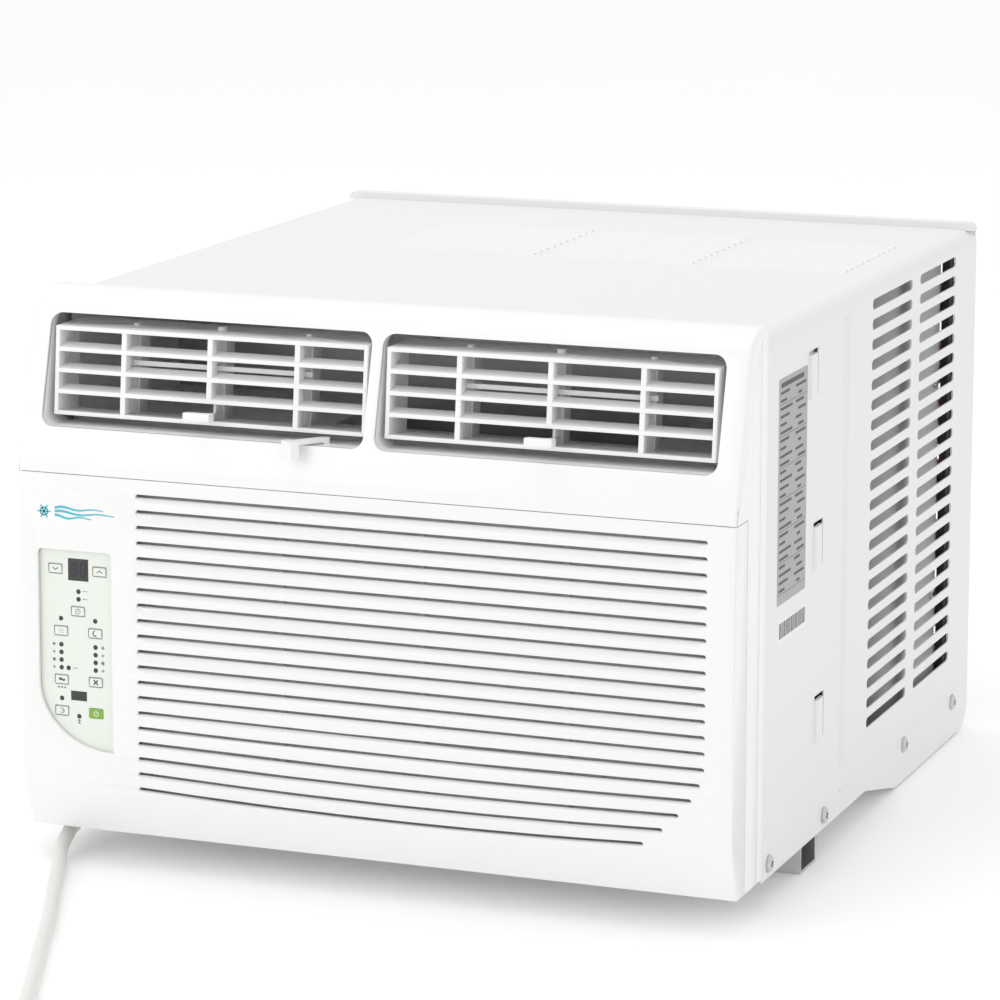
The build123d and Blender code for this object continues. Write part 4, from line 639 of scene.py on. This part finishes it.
# ---------------------------------------------------------------- Louvres
# Each outlet has a tilting white grille of five rows and three ribs with a level shelf on top, three upright
# vanes behind it on one link, and a thumb tab on the middle vane.
louvre_white = paint("louvre_white", (0.89, 0.89, 0.885), 0.34, 900.0, 0.015, 0.006, 20.0)
PIVOT_Y, PIVOT_Z, LEAN_BACK = -235.0, 318.3, radians(6.0)
GRID_HALF, GRID_HEIGHT, GRID_SKIN, GRID_FRONT = 108.0, 56.7, 2.6, -15.0
GRID_DEEP, SHELF_DEEP, BAR_DEEP, BAR_RISE, RIB_HALF = 29.0, 40.0, 9.2, 2.2, 1.7
ROW_PITCH = (GRID_HEIGHT - GRID_SKIN) / 4


def grid_place(depth, height):
    """A place on the leaning louvre, from its front face and its lower edge."""
    y, z = GRID_FRONT + depth, height - GRID_HEIGHT / 2
    return (PIVOT_Y + y * cos(LEAN_BACK) + z * sin(LEAN_BACK),
            PIVOT_Z - y * sin(LEAN_BACK) + z * cos(LEAN_BACK))


def grid_bar(x, height, deep, thick, rise):
    """A bar along the louvre whose rear edge is raised."""
    y, z = grid_place(0.0, height)
    bar = block("bar", x, (y, y + deep), (z, z + thick))
    for vertex in bar.data.vertices:
        if vertex.co.y * 1000 > y + deep / 2:
            vertex.co.z += rise / 1000
    return bar


for side, centre in (("left", -115.0), ("right", 114.0)):
    left, right = centre - GRID_HALF, centre + GRID_HALF
    grid = grid_bar((left, right), GRID_HEIGHT - GRID_SKIN, SHELF_DEEP, GRID_SKIN, 0.0)
    solids = [grid_bar((left, right), 0.0, GRID_DEEP, GRID_SKIN, -GRID_DEEP * tan(LEAN_BACK))]
    solids += [grid_bar((left + 1.0, right - 1.0), row * ROW_PITCH, BAR_DEEP, GRID_SKIN, BAR_RISE)
               for row in (1, 2, 3)]
    for x in (left, right - GRID_SKIN):
        cheek = block("cheek", (x, x + GRID_SKIN), (-GRID_HALF, GRID_HALF), (0.0, GRID_HEIGHT))
        for vertex in cheek.data.vertices:
            deep = 0.0 if vertex.co.y < 0 else GRID_DEEP
            vertex.co.y, vertex.co.z = [c / 1000 for c in grid_place(deep, vertex.co.z * 1000)]
        solids.append(cheek)
    for rib in (-60.0, 0.0, 60.0):
        low = ROW_PITCH if rib == 0 else 1.0
        upright = block("rib", (centre + rib - RIB_HALF, centre + rib + RIB_HALF), (-1, 1),
                        (low, GRID_HEIGHT - 1.0))
        for vertex in upright.data.vertices:
            deep = 0.5 if vertex.co.y < 0 else 9.0
            vertex.co.y, vertex.co.z = [c / 1000 for c in grid_place(deep, vertex.co.z * 1000)]
        solids.append(upright)
        shelf = grid_place(0.0, GRID_HEIGHT)[1]
        seat = (centre + rib, PIVOT_Y + 7.0)
        radius, rise = (3.0, 2.6) if rib == 0 else (2.1, 1.6)
        solids.append(rod("boss", radius, (*seat, shelf - 1.0), (*seat, shelf + rise), 20))
    for x in (left - 5.5, right - 1.0):
        solids.append(rod("pin", 2.5, (x, PIVOT_Y, PIVOT_Z), (x + 6.5, PIVOT_Y, PIVOT_Z), 24))
    for solid in solids:
        cut(grid, solid, "UNION")
    grid.name = side + "_louvre_grille"
    soften(grid, 0.45, 2)
    fit(grid, side + "_louvre", louvre_white, "louvre_plastic", side + "_louvre_frame")
    for n in (1, 2, 3):
        vane = twin(f"{side}_vane_{n}", f"{side}_vane_blade_{n}")
        soften(vane, 0.35, 2)
        fit(vane, f"{side}_vane_{n}", louvre_white, "louvre_plastic", f"{side}_vane_{n}")
dress(louvre_white, "left_vane_link", "right_vane_link")

# ---------------------------------------------------------------- Vent lever and vent door
# A white moulded arm from its post inside the cover, over the outlet's sill, to a thumb pad outside.
lever = twin("vent_lever", "vent_arm")
soften(lever, 0.9, 3)
fit(lever, "vent_lever", louvre_white, "louvre_plastic", "vent_lever")
dress(louvre_white, "vent_door")

# ---------------------------------------------------------------- Cabinet
# One wrap of white powder-coated sheet steel, 1 mm thick: pressed vents in both sides, three banks of fine
# ribs and two lanced slots in the top, a rolled lip at the back and stiffening beads down the sides.
CASE_FRONT, CASE_REAR, CASE_SIDE, CASE_TOP, SHEET = -210.0, 272.4, 240.0, 364.0, 1.0
CASE_CORNER, REAR_ROUND, LIP_TOP, LIP_FRONT = 10.0, 20.0, 368.5, 261.5
VENT_TOP_ROW, VENT_PITCH, VENT_ROWS, VENT_HALF = 347.9, 13.48, 22, 3.5
VENT_COLUMNS = ((15.0, 109.0), (128.0, 218.0))
CURTAIN_SPOTS, CURTAIN_HALF = ((-116.5, 324.7), (-102.5, 212.0), (-95.5, 97.0)), 15.0
SCREW_SPOTS, SCREW_Z = (-195.5, -79.3, 107.5, 231.0), 27.0
RIB_BANKS, RIBS, RIB_PITCH, FIRST_RIB = ((-118.0, -8.0), (-2.0, 106.0), (117.0, 213.0)), 10, 12.6, 44.0
case_white = paint("case_powder_coat", (0.80, 0.80, 0.797), 0.36, 700.0, 0.05, 0.008, 7.0)


def case_wrap(name, inset):
    """The cabinet's outer or inner form: rounded long edges, open below."""
    wrap = block(name, (-CASE_SIDE + inset, CASE_SIDE - inset), (CASE_FRONT - inset, CASE_REAR + inset),
                 (1.2 - inset * 30, CASE_TOP - inset))
    round_edges(wrap, CASE_CORNER - inset, 6, lambda e: along(e, "Y") and middle(e).z > CASE_TOP - 2)
    return wrap


case = case_wrap("case_wrap", 0.0)
under = block("cutter", (-260, 260), (-220, 90), (-20, 18))
slice_off(under, (0, 15, 18), (0, 17, 75))
cut(case, under)
round_y, round_z = CASE_REAR - REAR_ROUND, 1.2 + REAR_ROUND
corner = block("cutter", (-260, 260), (round_y, 290), (-20, round_z))
cut(corner, rod("cutter", REAR_ROUND, (-270, round_y, round_z), (270, round_y, round_z), 48))
cut(case, corner)
cut(case, case_wrap("cutter", SHEET))
lip = block("lip", (-CASE_SIDE, CASE_SIDE), (LIP_FRONT, CASE_REAR), (CASE_TOP - SHEET, LIP_TOP))
round_edges(lip, 4.6, 6, lambda e: along(e, "Y") and middle(e).z > 368)
round_edges(lip, 2.0, 4, lambda e: along(e, "X") and middle(e).z > 368)
cut(case, lip, "UNION")
flange = block("flange", (-239.2, 239.2), (CASE_REAR - SHEET, CASE_REAR), (1.4, CASE_TOP - 0.4))
cut(flange, block("cutter", (-227, 227), (260, 290), (13, 351)))
cut(flange, block("cutter", (-260, 260), (260, 290), (-5, 23)))
cut(case, flange, "UNION")
for first, last in VENT_COLUMNS:
    vents = []
    for n in range(VENT_ROWS):
        z = VENT_TOP_ROW - n * VENT_PITCH
        vent = block("vent", (-FAR, FAR), (first, last), (z - VENT_HALF, z + VENT_HALF))
        round_edges(vent, 3.4, 4, lambda e: along(e, "X"))
        vents.append(vent)
    cut(case, join("cutter", vents))
for y, z in CURTAIN_SPOTS:
    cut(case, block("cutter", (-FAR, FAR), (y - 7.5, y + 12.4), (z - CURTAIN_HALF, z + CURTAIN_HALF)))
for y in SCREW_SPOTS:
    cut(case, rod("cutter", 2.05, (-FAR, y, SCREW_Z), (FAR, y, SCREW_Z), 20))
for left, right in ((-32.0, -12.5), (193.0, 212.0)):
    cut(case, block("cutter", (left, right), (46.4, 50.4), (350, 380)))
for first, last in RIB_BANKS:
    for n in range(RIBS):
        y, z = FIRST_RIB + n * RIB_PITCH, CASE_TOP - 2.6
        cut(case, rod("rib", 3.6, (first, y, z), (last, y, z), 24), "UNION")
fit(case, "case", case_white, "cabinet_paint", "cabinet", angle=35.0)

# ---------------------------------------------------------------- Side beads and curtain tabs
# Pressed outwards in the same sheet: an upright bead and a low joggle on each side, and at each curtain
# slot a bulged tongue that the side curtain's rail hooks behind.
beads, tongues = [], []
for side in (-1, 1):
    skin = side * (CASE_SIDE - 1.9)
    beads.append(rod("bead", 2.6, (skin, -37, 50), (skin, -37, 349), 20))
    beads.append(rod("bead", 2.6, (skin, -44, 50), (skin, -44, 349), 20))
    beads.append(rod("bead", 2.5, (skin, -44, 34.3), (skin, 265, 34.3), 20))
    for y, z in CURTAIN_SPOTS:
        tongue = block("tongue", sorted((side * (CASE_SIDE - 0.9), side * (CASE_SIDE + 2.0))),
                       (y - 8.0, y + 7.0), (z - 15.5, z + 12.5))
        round_edges(tongue, 2.6, 5, lambda e: along(e, "Z") and abs(middle(e).x) > CASE_SIDE + 1)
        round_edges(tongue, 2.4, 4, lambda e: along(e, "Y") and abs(middle(e).x) > CASE_SIDE + 1)
        tongues.append(tongue)
fit(join("case_beads", beads), "case", case_white, "cabinet_paint")
fit(join("curtain_tongues", tongues), "case", case_white, "cabinet_paint")

# ---------------------------------------------------------------- Screws
# Zinc-plated pan-head screws with a cross recess: four on each side and two on the fan shroud, seen through
# the right-hand vents.
SHROUD_SIDE = 232.0
zinc = paint("zinc_plate", (0.62, 0.62, 0.61), 0.32, 900.0, 0.05, 0.08, 150.0, metallic=1.0)


def screw(place, side):
    """A pan head seen on a side of the case."""
    x, y, z = place
    head = rod("screw", 5.1, (x - side * 0.4, y, z), (x + side * 2.4, y, z), 36)
    round_edges(head, 1.7, 5, lambda e: abs(middle(e).x - (x + side * 2.4)) < 0.01
                and e.calc_face_angle() > 1)
    for turn in (0.35, 0.35 + pi / 2):
        arm = block("cutter", (-1.2, 1.2), (-0.55, 0.55), (-2.9, 2.9))
        arm.data.transform(Matrix.Translation(Vector((x + side * 2.2, y, z)) / 1000)
                           @ Matrix.Rotation(turn, 4, "X"))
        cut(head, arm)
    washer = rod("washer", 6.0, (x - side * 0.4, y, z), (x + side * 0.5, y, z), 36)
    return [head, washer]


heads = screw((SHROUD_SIDE, 197.0, 267.3), 1) + screw((SHROUD_SIDE, 199.5, 113.7), 1)
for side in (-1, 1):
    for y in SCREW_SPOTS:
        heads += screw((side * CASE_SIDE, y, SCREW_Z), side)
fit(join("case_screw_heads", heads), "case", zinc, "screw_steel", "case_screws", angle=40.0)

# ---------------------------------------------------------------- Rating plate and stock label
# On the right side of the case: a silver foil plate with ruled rows and plain bars in place of its print, and
# a small white label with upright bars. Both carry no words.
foil = paint("silver_foil", (0.36, 0.37, 0.38), 0.38, 1200.0, 0.02, 0.03, 60.0, metallic=0.15)
label_white = paint("label_white", (0.86, 0.86, 0.85), 0.5, 1200.0, 0.02, 0.01, 60.0)
label_ink = paint("label_ink", (0.06, 0.06, 0.065), 0.5, 1200.0, 0.02, 0.05, 200.0)
LABEL_BASE, LABEL_SKIN, LABEL_INK = 239.95, 240.15, 240.20
plate = block("rating_plate", (LABEL_BASE, LABEL_SKIN), (-185.0, -127.0), (189.0, 332.0))
fit(plate, "case", foil, "cabinet_paint")
stock = block("stock_label", (LABEL_BASE, LABEL_SKIN), (-183.0, -125.0), (164.0, 179.0))
fit(stock, "case", label_white, "cabinet_paint")
print_bars = []


def label_bar(y, z):
    """A printed bar on the labels."""
    return block("bar", (LABEL_SKIN - 0.05, LABEL_INK), y, z)


for n in range(26):
    z = 197.0 + 5.0 * n
    if n % 4 == 0:
        print_bars.append(label_bar((-183.0, -129.0), (z - 1.6, z - 1.3)))
    print_bars.append(label_bar((-182.0, -170.0 + 6.0 * ((n * 7) % 3)), (z, z + 1.7)))
    print_bars.append(label_bar((-146.0 - 5.0 * ((n * 5) % 2), -139.0 + 4.0 * ((n * 5) % 3)), (z, z + 1.7)))
print_bars.append(label_bar((-181.0, -135.0), (326.0, 329.0)))
stock_y = -180.0
for n in range(34):
    wide = (0.6, 1.0, 0.6, 1.4, 0.8)[(n * 3) % 5]
    print_bars.append(label_bar((stock_y, stock_y + wide), (167.0, 177.0)))
    stock_y += wide + (0.5, 0.9, 0.7)[(n * 2) % 3]
fit(join("label_print", print_bars), "case", label_ink, "cabinet_paint")

# ---------------------------------------------------------------- Base pan, bulkhead and ducts
# Painted steel pan, zinc-plated channel and bulkhead, and the grey foam-lined duct that feeds the outlets.
pan_white = paint("pan_powder_coat", (0.74, 0.74, 0.735), 0.4, 700.0, 0.05, 0.012, 9.0)
galvanised = paint("galvanised_sheet", (0.60, 0.61, 0.62), 0.36, 160.0, 0.06, 0.10, 60.0, metallic=1.0)
duct_foam = paint("duct_foam", (0.90, 0.90, 0.895), 0.9, 900.0, 0.5, 0.05, 90.0)
dress(pan_white, "base_pan")
dress(galvanised, "sill_channel", "bulkhead", "motor_bracket")
dress(duct_foam, "blower_scroll")

# ---------------------------------------------------------------- Fans and motor
# Moulded grey blower wheel and rear fan on one ground steel shaft, a black motor, a pale moulded shroud and
# black strips of painted shade that stand for the dark gap between the rear coil and the case.
# painted shade: near-black strips inside each side of the case, where there is only the shaded gap behind the
# rear coil
shade_strips = [block("coil_shade_strip", sorted((side * 233.0, side * 238.4)), (208.5, 219.5), (42.0, 352.0))
         for side in (-1, 1)]
shade_black = paint("painted_shade_black", (0.012, 0.012, 0.013), 0.9, 900.0, 0.4, 0.2, 90.0)
fit(join("coil_shade_strips", shade_strips), "case", shade_black, "duct_foam")
fan_grey = paint("fan_plastic", (0.16, 0.165, 0.17), 0.5, 500.0, 0.05, 0.03, 30.0)
shroud_grey = paint("shroud_plastic", (0.58, 0.585, 0.59), 0.55, 500.0, 0.06, 0.02, 14.0)
ground_steel = paint("ground_steel", (0.55, 0.55, 0.56), 0.25, 1400.0, 0.05, 0.04, 90.0, metallic=1.0)
motor_black = paint("motor_black", (0.035, 0.035, 0.038), 0.42, 500.0, 0.08, 0.15, 30.0)
dress(fan_grey, "blower_wheel", "axial_fan")
dress(shroud_grey, "condenser_shroud")
dress(ground_steel, "motor_shaft", "compressor_bolts")
dress(motor_black, "fan_motor", "compressor", "accumulator")

# ---------------------------------------------------------------- Cooling circuit
# Two stacks of thin aluminium fins on copper tubes between zinc-plated end plates, copper lines brazed to a
# black compressor that stands on rubber.
copper = paint("copper_tube", (0.72, 0.36, 0.20), 0.30, 300.0, 0.04, 0.12, 60.0, metallic=1.0)
rubber = paint("black_rubber", (0.02, 0.02, 0.02), 0.75, 600.0, 0.15, 0.2, 60.0)
FIN_PITCH = 0.0018


def fin_stack(name):
    """Edge-on aluminium fins: fine upright bands of fin edges, with painted shade for the gaps between them.
    """
    material = paint(name, (0.62, 0.63, 0.64), 0.35, 400.0, 0.03, 0.05, 40.0, metallic=0.9)
    nodes, links = material.node_tree.nodes, material.node_tree.links
    shader = nodes["Principled BSDF"]
    base = shader.inputs["Base Color"].links[0].from_socket
    place = nodes.new("ShaderNodeTexCoord")
    bands = nodes.new("ShaderNodeTexWave")
    bands.bands_direction = "X"
    bands.inputs["Scale"].default_value = 2 * pi / (20 * FIN_PITCH)
    links.new(place.outputs["Object"], bands.inputs["Vector"])
    gap_shade = nodes.new("ShaderNodeMix")
    gap_shade.data_type = "RGBA"
    links.new(base, gap_shade.inputs["A"])
    # painted shade: near-black bands stand for the shaded gaps between the fins
    gap_shade.inputs["B"].default_value = (0.04, 0.04, 0.045, 1.0)
    links.new(bands.outputs["Fac"], gap_shade.inputs["Factor"])
    links.new(gap_shade.outputs["Result"], shader.inputs["Base Color"])
    return material


dress(fin_stack("aluminium_fins_gap_shade"), "evaporator_fins", "condenser_fins")
dress(copper, "evaporator_tubes", "condenser_tubes", "refrigerant_lines", "capillary_tube")
dress(galvanised, "evaporator_end_plates", "condenser_end_plates")
dress(rubber, "compressor_grommets")

# ---------------------------------------------------------------- Electrical parts
# A white plastic control box, a drawn aluminium capacitor can and the moulded plug.
can = paint("capacitor_can", (0.70, 0.70, 0.70), 0.33, 600.0, 0.04, 0.05, 90.0, metallic=1.0)
dress(housing_white, "control_box")
dress(can, "run_capacitor")
dress(plug_vinyl, "power_plug")
